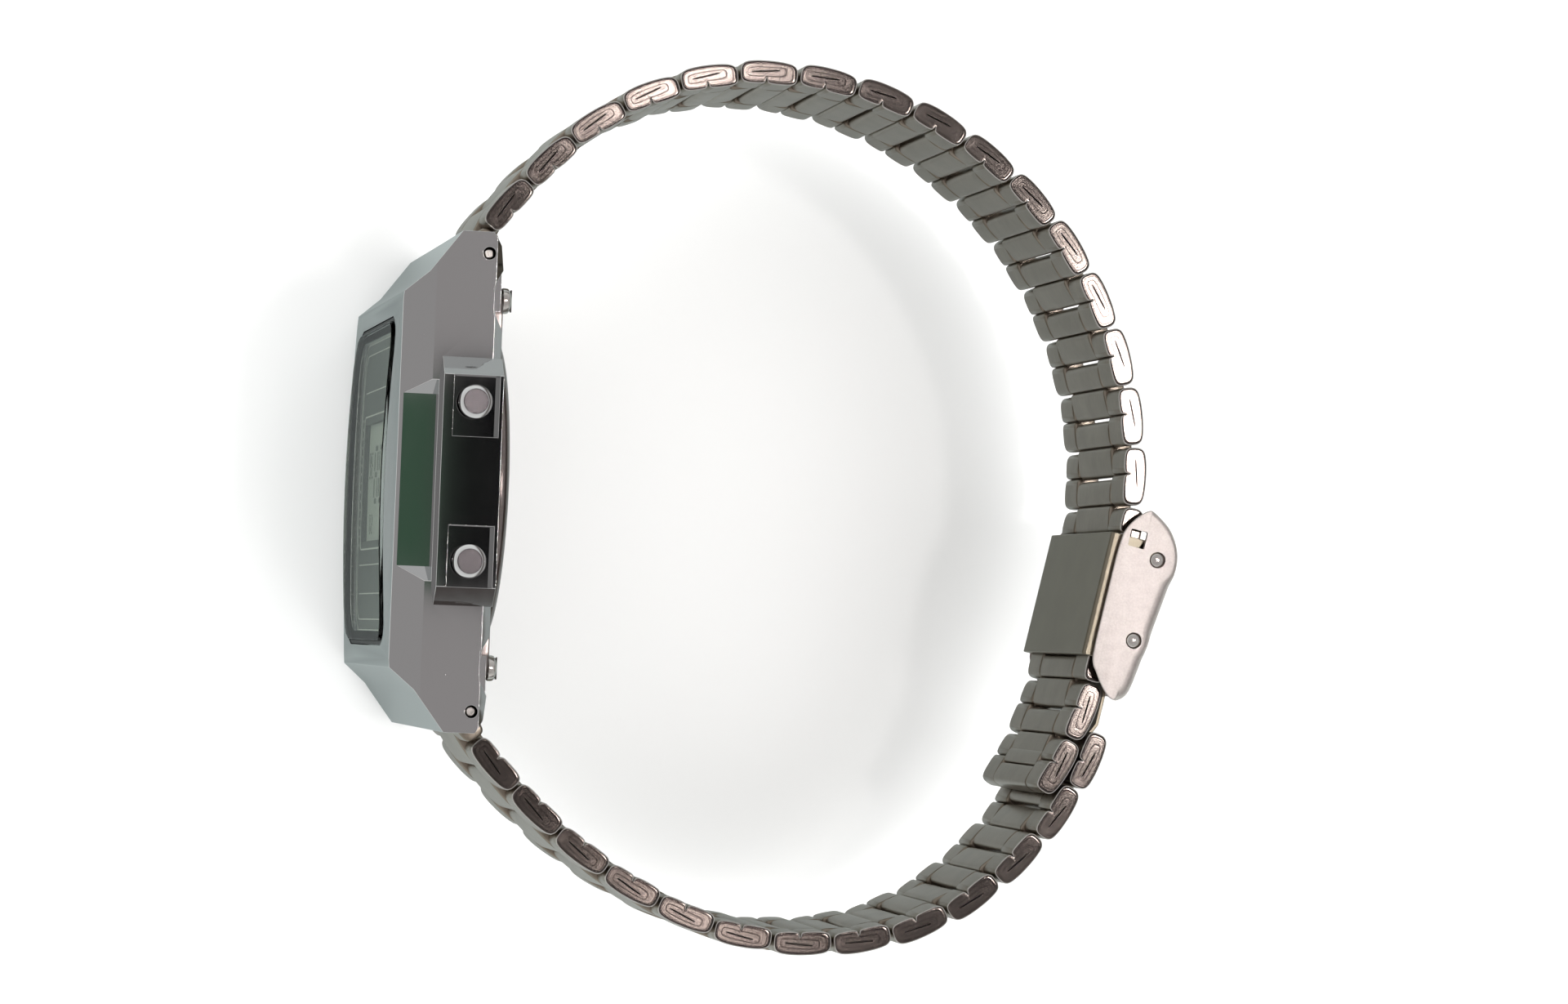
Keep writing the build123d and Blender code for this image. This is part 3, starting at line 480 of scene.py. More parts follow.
def ground_steel(name, dark, light, roughness):
    """Ground ends: a coarse grain, scratches that run round the fold, and darker seams of layers.

    Tone = mean of grain and scratches, times 0.55 at a seam and 1 away from it.
    """
    material, tree, coordinates = new_material(name)
    grain = grains(tree, coordinates, (7.0, 7.0, 7.0), rough=0.7)
    fold = add_node(tree, "ShaderNodeAttribute", settings={"attribute_name": "fold"}, out="Fac")
    turns = add_node(tree, "ShaderNodeMath", {0: fold, 1: scratch_turns}, {"operation": "MULTIPLY"})
    across = add_node(tree, "ShaderNodeCombineXYZ", {"X": turns})
    along = add_node(tree, "ShaderNodeMapping", {"Vector": coordinates, "Scale": (0.9 / MM,) * 3})
    ground = add_node(tree, "ShaderNodeVectorMath", {0: across, 1: along}, {"operation": "ADD"})
    scratches = add_node(tree, "ShaderNodeTexNoise",
                         {"Vector": ground, "Scale": 1.0, "Detail": 4, "Roughness": 0.65})
    mottled = add_node(tree, "ShaderNodeMix", {"Factor": 0.5, "A": grain, "B": scratches},
                       {"data_type": "FLOAT"}, out="Result")
    layer = add_node(tree, "ShaderNodeMath", {0: fold, 1: seam_turns}, {"operation": "MULTIPLY"})
    seam = add_node(tree, "ShaderNodeMath", {0: layer, 1: 0.5}, {"operation": "PINGPONG"})
    beside = add_node(tree, "ShaderNodeMapRange",
                      {"Value": seam, "From Min": seam_from, "From Max": seam_full,
                       "To Min": 1.0, "To Max": seam_dark})
    tone = add_node(tree, "ShaderNodeMath", {0: mottled, 1: beside}, {"operation": "MULTIPLY"})
    colour = add_node(tree, "ShaderNodeValToRGB", {"Fac": tone},
                      stops=[(0.33, dark), (0.56, light), (0.75, light)])
    finish(tree, grain, (roughness * 0.7, roughness * 1.4),
           {"Base Color": colour, "Metallic": 1.0}, tone, 0.003, strength=0.7)
    return material


band_satin = satin_steel("stainless_strip_satin", "#7e7467", "#a2968a", 0.30)
# the ends' dark steel tones are painted shade
band_ground_shaded = ground_steel("stainless_ends_ground_painted_shade", "#332d2b", "#57504c", 0.085)
# the rims' pale steel tones are a painted highlight
band_rim_highlight = satin_steel("stainless_rim_painted_highlight", "#bdb6b0", "#dcd6d1", 0.2, lines=(6, 6, 6),
                       depth=0.0008)
clasp_satin = satin_steel("stainless_clasp_bead_blasted", "#d2c6c1", "#ebe1dc", 0.45,
                          lines=(6, 6, 6), blotch_mm=0.7)
sleeve_satin = satin_steel("stainless_sleeve_pressed", "#82796b", "#8f8676", 0.33,
                           lines=(1.0, 1.0, 9.0))
rivet_polished = satin_steel("stainless_rivet_polished", "#b9b2ad", "#d8d2cd", 0.14, lines=(4, 4, 4))
back_brushed = satin_steel("stainless_back_turned", "#6d6360", "#8d8380", 0.22,
                           lines=(0.4, 9.0, 9.0))
# a dark steel of painted shade, for the slit walls, the pins, the screw slots and the lock plate
painted_shade_inside = satin_steel("stainless_inside_painted_shade", "#3b3834", "#4c4843", 0.45, lines=(3, 3, 3))
spring_steel = satin_steel("spring_steel_hardened", "#8f8a86", "#b1aca8", 0.18, lines=(3, 3, 9))
print("with the steels:", len(bpy.data.materials), "materials")

# %% [markdown]
# Rubber, plastics, glass and print. Real mineral glass has an index of 1.52 and, seen this flat,
# mirrors most of its surroundings. The photograph shows the dark dial instead, so the index here
# is matched to it and the print behind has little gloss.

# %% Window, print and the inside
print_gloss, plastic_ior, matched_glass_ior = 0.06, 1.5, 1.03


def dull_plastic(name, dark, light, roughness, grains_per_mm=4.0, depth=0.004, specular=0.5):
    """Moulded or coated plastic: a fine even texture and a slight change of tone."""
    material, tree, coordinates = new_material(name)
    grain = grains(tree, coordinates, (grains_per_mm,) * 3, detail=2)
    clouds = grains(tree, coordinates, (0.3,) * 3)
    colour = add_node(tree, "ShaderNodeValToRGB", {"Fac": clouds}, stops=[(0.3, dark), (0.7, light)])
    sockets = {"Base Color": colour, "IOR": plastic_ior, "Specular IOR Level": specular}
    finish(tree, grain, (roughness * 0.85, roughness * 1.15), sockets, grain, depth)
    return material


def printed(name, dark, light, roughness, depth=0.001):
    """A film or an ink behind the glass: plastic with next to no gloss."""
    return dull_plastic(name, dark, light, roughness, depth=depth, specular=print_gloss)


gasket_rubber = dull_plastic("nitrile_rubber_moulded", "#0b0b0b", "#161616", 0.55)
module_plastic = dull_plastic("abs_black_moulded", "#121212", "#1c1c1c", 0.5)
board_laminate = dull_plastic("glass_laminate_solder_mask", "#123a22", "#1b4c2e", 0.35)
dial_film = printed("polyester_film_printed", "#323530", "#3c3f38", 0.5)
dial_print = printed("screen_print_pale", "#a5a79c", "#bcbeb2", 0.5)
lcd_film = printed("lcd_polariser_film", "#8f9389", "#999d92", 0.4, depth=0.0005)
lcd_ink = printed("lcd_segment_on", "#30342e", "#3a3f37", 0.4, depth=0.0005)
cell_nickel = satin_steel("nickel_plated_cell", "#a8a6a3", "#c4c2bf", 0.22, lines=(3, 3, 3))
sounder_brass = satin_steel("brass_sounder_disc", "#a88748", "#c7a662", 0.25, lines=(3, 3, 3))


def window_glass(name):
    """Clear mineral glass, polished, with faint wiping marks in its gloss."""
    material, tree, coordinates = new_material(name)
    wiping = grains(tree, coordinates, (0.5, 0.12, 0.3), detail=4)
    sockets = {"Base Color": linear("#eef3ee"), "IOR": matched_glass_ior, "Transmission Weight": 1.0}
    finish(tree, wiping, (0.0, 0.05), sockets)
    return material


mineral_glass = window_glass("mineral_glass_polished")
print("materials:", len(bpy.data.materials))

# %% [markdown]
# One link is a strip of sheet folded over its pins. Seen from the end it is a smooth back towards
# the outside and two round pads towards the wrist, with a notch where the strip's ends meet and a
# thin slit between its layers. Its outline here is a polygon whose corners are cut twice.

# %% The folded outline
link_pitch = 4.87
link_gap = 0.2
link_depth = 0.875
lobe_from, lobe_to = link_gap / 2 - link_pitch / 4, 3 * link_pitch / 4 - link_gap / 2
tube_from, tube_to = link_pitch / 4 + link_gap / 2, 5 * link_pitch / 4 - link_gap / 2
band_half = 9.0
column_inner = 5.2
tube_half = 5.1

# Corners of the outline: share of its length along, millimetres out.
pads = [(0.0, -0.18), (0.015, -0.66), (0.10, -0.92), (0.30, -0.93), (0.425, -0.87), (0.455, -0.62),
        (0.46, -0.38), (0.465, -0.62), (0.495, -0.87), (0.62, -0.93), (0.90, -0.92), (0.985, -0.64),
        (1.0, -0.15)]
smooth_back = [(0.995, 0.40), (0.92, 0.78), (0.72, 0.94), (0.50, 0.98), (0.28, 0.95), (0.08, 0.80),
               (0.005, 0.44)]
plain_back = [(1.0, 0.35), (0.95, 0.76), (0.74, 0.93), (0.50, 0.965), (0.26, 0.93), (0.05, 0.76),
              (0.0, 0.35)]
slit_from, slit_length = 0.20, 0.48       # shares of the link's length
slit_low, slit_rise = -0.02, 0.24         # millimetres out where it starts, and how far it rises
slit_half_width, slit_depth = 0.05, 0.3


def folded_outline(start, end, back=smooth_back):
    """(along, out) of a link in millimetres: its pads and its back with their corners cut twice."""
    points = cut_corners(pads + back, 2)
    points[:, 0] = start + (end - start) * points[:, 0]
    return points


def slit_loop(points, start, end):
    """A thin closed loop in the middle of an outline, point for point with it, for the slit.

    Half width = 0.05 times the root of 1 - (2 share - 1) to the power 4, with the share along it.
    """
    share = np.clip(((points[:, 0] - start) / (end - start) - 0.06) / 0.88, 0, 1)
    along = start + (end - start) * (slit_from + slit_length * share)
    side = np.clip(points[:, 1] / 0.35, -1, 1)
    half_width = slit_half_width * np.sqrt(np.clip(1 - (2 * share - 1) ** 4, 0, 1))
    return np.stack((along, slit_low + slit_rise * share + side * half_width), 1)


print("outline points:", len(folded_outline(0, 1)))

# %% [markdown]
# A pad stack is that outline carried across the band. At its ground end the rings turn over a
# narrow rim and run in over the flat end face to the slit, then down into it, so the slit is real.

# %% Lobes and tubes of a link
rim_width, inner_round = 0.085, 0.22
pin_radius, pin_half = 0.36, column_inner + 0.3
end_length, end_half = 4.0, 8.9
face_shares = (0.15, 0.45, 0.75, 1.0)     # rings of the ground face, from its rim to the slit
satin, ground, rim, inside = range(4)     # places in a link's list of materials


def rolled_rings(points, normals, z, radius, steps, side):
    """Rings that roll an outline over by a quarter circle at its top, side 1, or its bottom, -1.

    Inset = radius (1 - cos t) and height = z - side times radius (1 - sin t), t to a quarter turn.
    """
    turn = np.linspace(0, math.pi / 2, steps + 1)
    heights = z - side * radius * (1 - np.sin(turn))
    insets = radius * (1 - np.cos(turn))
    rings = [at_height(points - normals * inset, height) for inset, height in zip(insets, heights)]
    return rings[::side]


def lobe(start, end, z_low, z_high):
    """A lobe from its hidden inner end to its ground outer end: points, quads, materials, fold."""
    points = folded_outline(start, end)
    normals = outline_normals(points)
    slit = slit_loop(points, start, end)
    share = np.clip(((slit[:, 0] - start) / (end - start) - slit_from) / slit_length, 0, 1)
    slit_middle = np.column_stack((slit[:, 0], slit_low + slit_rise * share))
    rim_line = points - normals * rim_width
    rings = [at_height(np.column_stack((slit[:, 0], np.full(len(slit), slit[:, 1].mean()))), z_low)]
    rings += rolled_rings(points, normals, z_low, inner_round, 3, -1)
    rings += rolled_rings(points, normals, z_high, rim_width, 2, 1)
    rings += [at_height(rim_line + (slit - rim_line) * share, z_high) for share in face_shares]
    rings += [at_height(slit, z_high - slit_depth), at_height(slit_middle, z_high - slit_depth)]
    first_face = len(rings) - 2 - len(face_shares)
    fold_of_ring = np.zeros(len(rings))
    fold_of_ring[first_face:-2] = face_shares
    fold_of_ring[-2:] = 1
    kind = np.full(len(rings) - 1, satin)
    kind[first_face - 3:first_face - 1] = rim
    kind[first_face - 1:-2] = ground
    # the slit's walls get the dark steel of painted shade
    kind[-2:] = inside
    return (np.vstack(rings), ring_quads(len(rings), len(points)), np.repeat(kind, len(points)),
            np.repeat(fold_of_ring, len(points)))


def tube(start, end, half):
    """The wide middle piece, rolled over at both ends: points, quads, materials, fold."""
    points = folded_outline(start, end, plain_back)
    normals = outline_normals(points)
    middle = np.column_stack((points[:, 0] * 0.6 + 0.4 * (start + end) / 2, np.zeros(len(points))))
    rings = [at_height(middle, -half)]
    rings += rolled_rings(points, normals, -half, inner_round, 3, -1)
    rings += rolled_rings(points, normals, half, inner_round, 3, 1)
    rings += [at_height(middle, half)]
    quads = ring_quads(len(rings), len(points))
    return np.vstack(rings), quads, np.full(len(quads), satin), np.zeros(len(rings) * len(points))


def link_pin(along):
    """A pin turned about Z: points, quads, materials, fold."""
    profile = [(0, -pin_half), (pin_radius, -pin_half), (pin_radius, pin_half), (0, pin_half)]
    points, quads = turned(profile, 12)
    return points + (along, 0, 0), quads, np.full(len(quads), inside), np.zeros(len(points))


def assembled(parts):
    """Several (points, quads, materials, fold) as one."""
    points, quads = joined([part[:2] for part in parts])
    return (points, quads, *(np.concatenate([part[column] for part in parts]) for column in (2, 3)))


near_lobe = lobe(lobe_from, lobe_to, column_inner, band_half)
far_lobe = (near_lobe[0] * (1, 1, -1), near_lobe[1][:, ::-1], *near_lobe[2:])
both_lobes = assembled([near_lobe, far_lobe])
first_pin, middle_pin = link_pin(0), link_pin(link_pitch / 2)
whole_link = assembled([both_lobes, tube(tube_from, tube_to, tube_half), first_pin, middle_pin])
last_tube = tube(lobe_from + link_pitch / 4, lobe_to, column_inner + 0.1)
last_link = assembled([both_lobes, first_pin, last_tube])
hook_link = assembled([both_lobes, first_pin, middle_pin])
end_tube = tube(end_length - 3 * link_pitch / 4 + link_gap / 2,
                end_length + link_pitch / 4 - link_gap / 2, tube_half)
end_sleeve = tube(-link_depth, end_length - link_pitch / 4 - link_gap / 2, end_half)
end_piece = assembled([end_tube, end_sleeve])
print("a link:", len(whole_link[0]), "points,", len(whole_link[1]), "quads")

# %% [markdown]
# Links are placed 34 times, each about its own hinge and looking at the next one. The last one of
# each half has no tube that reaches into a next link, and each half starts with an end piece. The
# 12 o'clock half is turned over about its length, because its pads face the wrist too.

# %% The bracelet
link_materials = [band_satin, band_ground_shaded, band_rim_highlight, painted_shade_inside]
bodies = frame["record"]["behaviour"]["bodies"]
node_body = {node: body for body, nodes in bodies.items() for node in nodes}
upright, pads_up = np.eye(4), np.diag([1.0, -1.0, -1.0, 1.0])
clasp_first, clasp_after = hinge_point("long_link_17"), hinge_point("tail_20")
long_pins = [hinge_point("long_end_link")]
long_pins += [hinge_point("long_link_%02d" % number) for number in range(1, 18)]
long_pins += [clasp_first + (clasp_after - clasp_first) * share / 3 for share in (1, 2)]
long_pins += [clasp_after, hinge_point("tail_21")]
last_turn = math.radians(-120)
last_step = np.array((math.cos(last_turn), math.sin(last_turn), 0)) * link_pitch
long_pins.append(long_pins[-1] + last_step)
short_pins = [hinge_point("short_end_link")]
short_pins += [hinge_point("short_link_%02d" % number) for number in range(1, 14)]
short_pins.append(hinge_point("hook"))

for half, pins, last_shape, over in (("long", long_pins, last_link, upright),
                                     ("short", short_pins, hook_link, pads_up)):
    shapes = [end_piece] + [whole_link] * (len(pins) - 3) + [last_shape]
    for number, (shape, first, second) in enumerate(zip(shapes, pins, pins[1:])):
        node = "%s_link_%02d" % (half, number) if number else half + "_end_link"
        points, quads, kinds, fold = shape
        add_piece("steel_" + node, points, quads, line_place(first, second) @ over, node_body[node],
                  [node], link_materials, kinds, sharp=40, fold=fold)
print("links:", len(long_pins) + len(short_pins) - 4)

# %% [markdown]
# The clasp's cover is one sheet: two flanges that roll over into the outer skin. Its flange is
# drawn as a closed outline; where the outline looks outwards the sheet rolls over with a large
# radius, and where it looks at the wrist it ends in a cut edge. Beside the rivets and over the
# sleeve's end the roll is narrower, so that the open cover clears both. Solidify gives thickness.

# %% Clasp cover
clasp_place = line_place(clasp_first, clasp_after)
sleeve_inner, sleeve_sheet, cover_sheet = 9.12, 0.35, 0.35
cover_half = sleeve_inner + sleeve_sheet + 0.2 + cover_sheet
cover_start, cover_length, cover_low, cover_height = -1.15, 15.45, -0.9, 5.15
cover_shares = [(0.165, 0), (0.48, 0), (0.793, 0), (0.850, 0.045), (0.884, 0.13), (0.925, 0.21),
                (0.974, 0.34), (1.003, 0.46), (1.0, 0.60), (0.968, 0.715), (0.913, 0.775),
                (0.64, 0.875), (0.366, 0.975), (0.262, 1.01), (0.19, 0.985), (0.125, 0.90),
                (0.060, 0.75), (0.010, 0.515), (-0.008, 0.38), (0.03, 0.235), (0.087, 0.10)]
cover_pin_at, hook_bar_at, rivet_hole = (2.55, 2.5), (9.3, 2.15), 0.66
window_at, window_half, window_corner = (1.3, 0.5), 0.7, 0.12
edge_radius, roll_radius, rivet_room = 0.10, 1.0, 0.08
inward_tilt, tilt_range = 0.15, 0.7
sleeve_radius, sleeve_slope, over_sleeve_to = 0.42, 0.6, 3.4
skin_from, skin_to, skin_tilt = 3.1, 13.9, 0.25


def hole_points(centre, steps=28):
    """A rivet hole's edge: centre plus radius times (cos t, sin t)."""
    turn = np.linspace(0, 2 * math.pi, steps, endpoint=False)
    return centre + rivet_hole * np.stack((np.cos(turn), np.sin(turn)), 1)


def filled(loops):
    """Points and triangles that fill an outline round its holes, each with its last point twice."""
    points = np.vstack(loops)
    loops_of_vectors = [[Vector((x, y, 0)) for x, y in loop] for loop in loops]
    triangles = np.array(tessellate_polygon(loops_of_vectors))
    corners = points[triangles]
    a, b = corners[:, 1] - corners[:, 0], corners[:, 2] - corners[:, 0]
    backwards = a[:, 0] * b[:, 1] - a[:, 1] * b[:, 0] < 0
    triangles[backwards] = triangles[backwards][:, ::-1]
    return points, triangles[:, (0, 1, 2, 2)]


def seen_from_behind(faces):
    """The same faces turned round, triangles still with their last point twice."""
    triangle = faces[:, 2] == faces[:, 3]
    return np.where(triangle[:, None], faces[:, (1, 0, 2, 2)], faces[:, ::-1])


def inset_line(outline, normals, inset):
    """The outline moved in; points that would cross over go to the nearest one that doesn't."""
    moved = outline - normals * inset[:, None]
    room = np.linalg.norm(moved[:, None] - outline[None], axis=2).min(axis=1)
    kept = np.flatnonzero(room > 0.97 * inset - 1e-6)
    steps = np.abs(np.arange(len(outline))[:, None] - kept[None])
    steps = np.minimum(steps, len(outline) - steps)
    return moved[kept[steps.argmin(axis=1)]]


def cover_sheet_mesh():
    """Open sheet: near flange, roll, outer skin, and the mirrored half.

    Roll radius = 0.1 + 0.9 times a smooth step of how far the outline looks outwards, kept
    clear of the rivets and of the sleeve.
    """
    shares = np.array(cover_shares)
    outline = cut_corners(shares * (cover_length, cover_height) + (cover_start, cover_low), 3)
    normals = outline_normals(outline)
    outward = np.clip((normals[:, 1] + inward_tilt) / tilt_range, 0, 1)
    outward = outward * outward * (3 - 2 * outward)
    rivets = np.array([cover_pin_at, hook_bar_at])
    to_rivet = np.linalg.norm(outline[:, None] - rivets[None], axis=2).min(axis=1)
    over_sleeve = sleeve_radius + sleeve_slope * np.clip(outline[:, 0] - over_sleeve_to, 0, 1)
    radius = edge_radius + (roll_radius - edge_radius) * outward
    radius = np.minimum(np.minimum(radius, to_rivet - rivet_hole - rivet_room), over_sleeve)
    rings = [at_height(inset_line(outline, normals, radius * (1 - np.cos(turn))),
                       cover_half - radius + radius * np.sin(turn))
             for turn in np.linspace(0, math.pi / 2, 7)]
    face_edge = rings[-1][:, :2]
    step = np.linalg.norm(face_edge - np.roll(face_edge, 1, axis=0), axis=1)
    window = rounded_rectangle(window_half, window_half, window_corner, 4) + window_at
    face_points, triangles = filled([face_edge[step > 1e-6], window, hole_points(cover_pin_at),
                                     hole_points(hook_bar_at)])
    points = np.vstack(rings + [at_height(face_points, cover_half)])
    size, count = len(outline), len(points)
    flange = np.vstack((ring_quads(len(rings), size), triangles + len(rings) * size))
    in_skin = (outline[:, 0] > skin_from) & (outline[:, 0] < skin_to) & (normals[:, 1] > skin_tilt)
    here = np.flatnonzero(in_skin & np.roll(in_skin, -1))
    beside = (here + 1) % size
    skin = np.column_stack((beside, here, here + count, beside + count))
    faces = np.vstack((flange, seen_from_behind(flange) + count, skin))
    return np.vstack((points, points * (1, 1, -1))), faces


sheet_points, sheet_faces = cover_sheet_mesh()
cover = add_piece("steel_clasp_cover", sheet_points, sheet_faces, clasp_place, "cover",
                  ["clasp_cover"], [clasp_satin])
thick = cover.modifiers.new("sheet", "SOLIDIFY")
thick.thickness = cover_sheet * MM
thick.offset = -1
cover.modifiers.move(1, 0)
print("cover sheet:", len(sheet_faces), "faces")

# %% [markdown]
# The cover's hinge pin and hook bar are headed over in their holes like rivets: a low crown with a
# dark ring of shadow round it, where the hole is a little wider than the head.

# %% Rivets of the clasp
crown = cover_half + 0.10
rivet_end = [(0, crown), (0.22, crown - 0.01), (0.42, crown - 0.05), (0.55, crown - 0.13),
             (0.60, crown - 0.24), (0.60, crown - 0.62), (0.48, crown - 0.66)]
rivet_profile = [(radius, -z) for radius, z in rivet_end] + rivet_end[::-1]
points, quads = turned(rivet_profile, 40)
for name, at in (("cover_pin", cover_pin_at), ("hook_bar", hook_bar_at)):
    add_piece("steel_" + name, points + (*at, 0), quads, clasp_place, "cover", [name],
              [rivet_polished])
print("rivets:", len(quads), "quads each")

# %% [markdown]
# The sleeve that slides on the band is a pressed channel with round bends: floor towards the
# wrist, two side walls, and flaps bent in over the band. Its section is a closed line carried
# along the band. The ears that hold the hinge are plates on its walls.

# %% Clasp sleeve
sleeve_start, sleeve_end = 1.2, 11.3
flap_start, flap_end, flap_half = 4.8, 8.4, 1.65
floor_sheet, floor_bend, sheet_bend, bend_rise = 0.6, 0.28, 0.12, 0.2
floor_out = -link_depth - 0.12 - floor_sheet
flap_in = link_depth + 0.06 + 0.12
sleeve_outer = sleeve_inner + sleeve_sheet
wall_top, half_sheet = flap_in + sleeve_sheet, sleeve_sheet / 2
ear_corners = [(1.3, wall_top - 0.6), (4.1, wall_top - 0.6), (4.0, 2.6), (3.5, 3.6), (2.55, 3.9),
               (1.6, 3.6), (1.2, 2.6)]


def capped(outline, ring_count):
    """Faces of so many rings of an outline, with the first and the last one filled."""
    size, end = len(outline), filled([outline])[1]
    last = end + (ring_count - 1) * size
    return np.vstack((ring_quads(ring_count, size), seen_from_behind(end), last))


def closed_sweep(outline, low, high, rim=0.06):
    """A (z, out) outline carried along the band between two stations, its ends rolled and filled."""
    drawn_in = outline - outline_normals(outline) * rim
    rings = ((drawn_in, low), (outline, low + rim), (outline, high - rim), (drawn_in, high))
    points = [np.column_stack((np.full(len(line), along), line[:, 1], line[:, 0]))
              for line, along in rings]
    return np.vstack(points), capped(outline, len(rings))


def oriented(points, faces):
    """Faces of a closed mesh, turned so that its volume counts as positive.

    Volume = sum of a . (b x c + c x d) over the faces, divided by six.
    """
    a, b, c, d = (points[faces[:, corner]] for corner in range(4))
    inside_out = (a * (np.cross(b, c) + np.cross(c, d))).sum() <= 0
    return points, seen_from_behind(faces) if inside_out else faces


channel = rounded_rectangle(sleeve_outer, floor_sheet / 2, floor_bend, 5)
channel = channel + (0, floor_out + floor_sheet / 2)
sleeve_parts = [closed_sweep(channel, sleeve_start, sleeve_end)]
for side in (1, -1):
    wall = rounded_rectangle(half_sheet, (wall_top - floor_out - bend_rise) / 2, sheet_bend, 4)
    wall = wall + (side * (sleeve_outer - half_sheet), (wall_top + floor_out + bend_rise) / 2)
    flap = rounded_rectangle(flap_half, half_sheet, sheet_bend, 4)
    flap = flap + (side * (sleeve_outer - flap_half), wall_top - half_sheet)
    ear = cut_corners(ear_corners, 2)
    plate = np.vstack([at_height(ear, z) for z in sorted((side * sleeve_inner, side * sleeve_outer))])
    sleeve_parts += [closed_sweep(wall, sleeve_start, sleeve_end),
                     closed_sweep(flap, flap_start, flap_end), (plate, capped(ear, 2))]
points, faces = joined([oriented(*part) for part in sleeve_parts])
add_piece("steel_clamp_sleeve", points, faces, clasp_place, "clasp_base", ["clamp_sleeve"],
          [sleeve_satin])
# the lock plate gets the dark steel of painted shade
softened_copy("steel_lock_plate", "lock_plate", "lock", [painted_shade_inside], 0.05)
softened_copy("steel_hook_plate", "hook_plate", "hook", [sleeve_satin], 0.06)
print("sleeve:", len(faces), "faces")

# %% [markdown]
# The case is chromed, and its crisp facets are the CAD's own. Each sharp edge on a plated part is
# a narrow round that catches a line of light, so a copy of the CAD mesh is beveled a little, and
# its rounds get a chrome that is a little duller, with a paler colour that is a painted highlight.

# %% Case and window
softened_copy("chrome_case_body", "case_body", "case", [case_chrome, highlight_chrome],
              0.11, segments=3)
softened_copy("clear_crystal_glass", "crystal_glass", "case", [mineral_glass], 0.12,
              limit=40)
softened_copy("rubber_glass_gasket", "glass_gasket", "case", [gasket_rubber], 0.08,
              limit=40)
print("case faces:", len(bpy.data.meshes["chrome_case_body"].polygons))

# %% [markdown]
# Behind the glass lies a printed film with a window for the display. The print here is plain
# frames and rules, and the display shows plain numbers made of seven segments.

# %% Dial print and display
dial_x = -5.7 + 0.4 + 0.05      # of the film behind the glass, with the print on it
lcd_x = dial_x + 0.4
ink = 0.02                      # thickness of print, drawn thick enough to render cleanly
dot_heights = np.arange(-5.4, 5.0, 0.72)


def face_place(x_mm):
    """A place on the dial: its X runs to 3 o'clock, its Y to 12 o'clock, its Z out of the dial."""
    return place_in_case((x_mm, 0, 0), (0, 0, -1), (0, -1, 0), (-1, 0, 0))


def frame_line(half_x, half_y, radius, width, centre=(0, 0)):
    """A thin closed line: two rounded rectangles joined by quads, as thick as ink."""
    outer = rounded_rectangle(half_x, half_y, radius) + centre
    inner = rounded_rectangle(half_x - width, half_y - width, max(radius - width, 0.05)) + centre
    rings = [at_height(line, z) for line, z in
             ((outer, 0), (outer, ink), (inner, ink), (inner, 0), (outer, 0))]
    return np.vstack(rings), ring_quads(len(rings), len(outer))


def bar_shape(x, y, half_x, half_y):
    """A thin raised bar with round corners, closed on top."""
    edge = rounded_rectangle(half_x, half_y, min(half_x, half_y) * 0.6, 3) + (x, y)
    rings = [at_height(edge, 0), at_height(edge, ink), at_height(edge * 0 + (x, y), ink)]
    return np.vstack(rings), ring_quads(len(rings), len(edge))


lines = [frame_line(11.9, 11.6, 2.0, 0.14), frame_line(11.2, 10.7, 1.6, 0.09),
         frame_line(9.5, 5.4, 0.6, 0.12, (0, -0.3))]
lines += [bar_shape(0, y, 9.8, 0.045) for y in (8.6, 6.3, -7.6)]
lines += [bar_shape(x, y, 0.10, 0.10) for x in (-10.3, 10.3) for y in dot_heights]
points, quads = joined(lines)
add_piece("print_dial_lines", points, quads, face_place(dial_x), "case", [],
          [dial_print])

# Each segment: where its middle is in half widths and half heights, and whether it lies across.
segment_places = {"a": (0, 1, True), "g": (0, 0, True), "d": (0, -1, True), "b": (1, 0.5, False),
                  "c": (1, -0.5, False), "f": (-1, 0.5, False), "e": (-1, -0.5, False)}
segments_of = {"0": "abcdef", "1": "bc", "2": "abged", "3": "abgcd", "4": "fgbc", "5": "afgcd",
               "6": "afgedc", "7": "abc", "8": "abcdefg", "9": "abcdfg"}


def digit(text, x, y, width, height, stroke):
    """Seven segments: three bars across and four upright ones, a little apart."""
    half_w, half_h = width / 2, height / 2
    across = (half_w - stroke * 0.7, stroke / 2)
    upright = (stroke / 2, half_h / 2 - stroke * 0.7)
    places = [segment_places[segment] for segment in segments_of[text]]
    return [bar_shape(x + right * half_w, y + high * half_h, *(across if lies else upright))
            for right, high, lies in places]


digits = []
for text, x in (("1", -6.6), ("0", -3.5), ("0", 0.4), ("8", 3.5)):
    digits += digit(text, x, -0.9, 1.9, 4.2, 0.42)
for text, x in (("3", 6.2), ("6", 7.7)):
    digits += digit(text, x, -1.7, 0.85, 1.9, 0.2)
digits += [bar_shape(-1.55, y, 0.18, 0.18) for y in (-0.1, -1.8)]
for text, x in (("2", 5.4), ("8", 6.7)):
    digits += digit(text, x, 3.0, 0.7, 1.4, 0.17)
points, quads = joined(digits)
add_piece("print_lcd_numbers", points, quads, face_place(lcd_x), "case", [], [lcd_ink])
print("bars of the display:", len(digits))
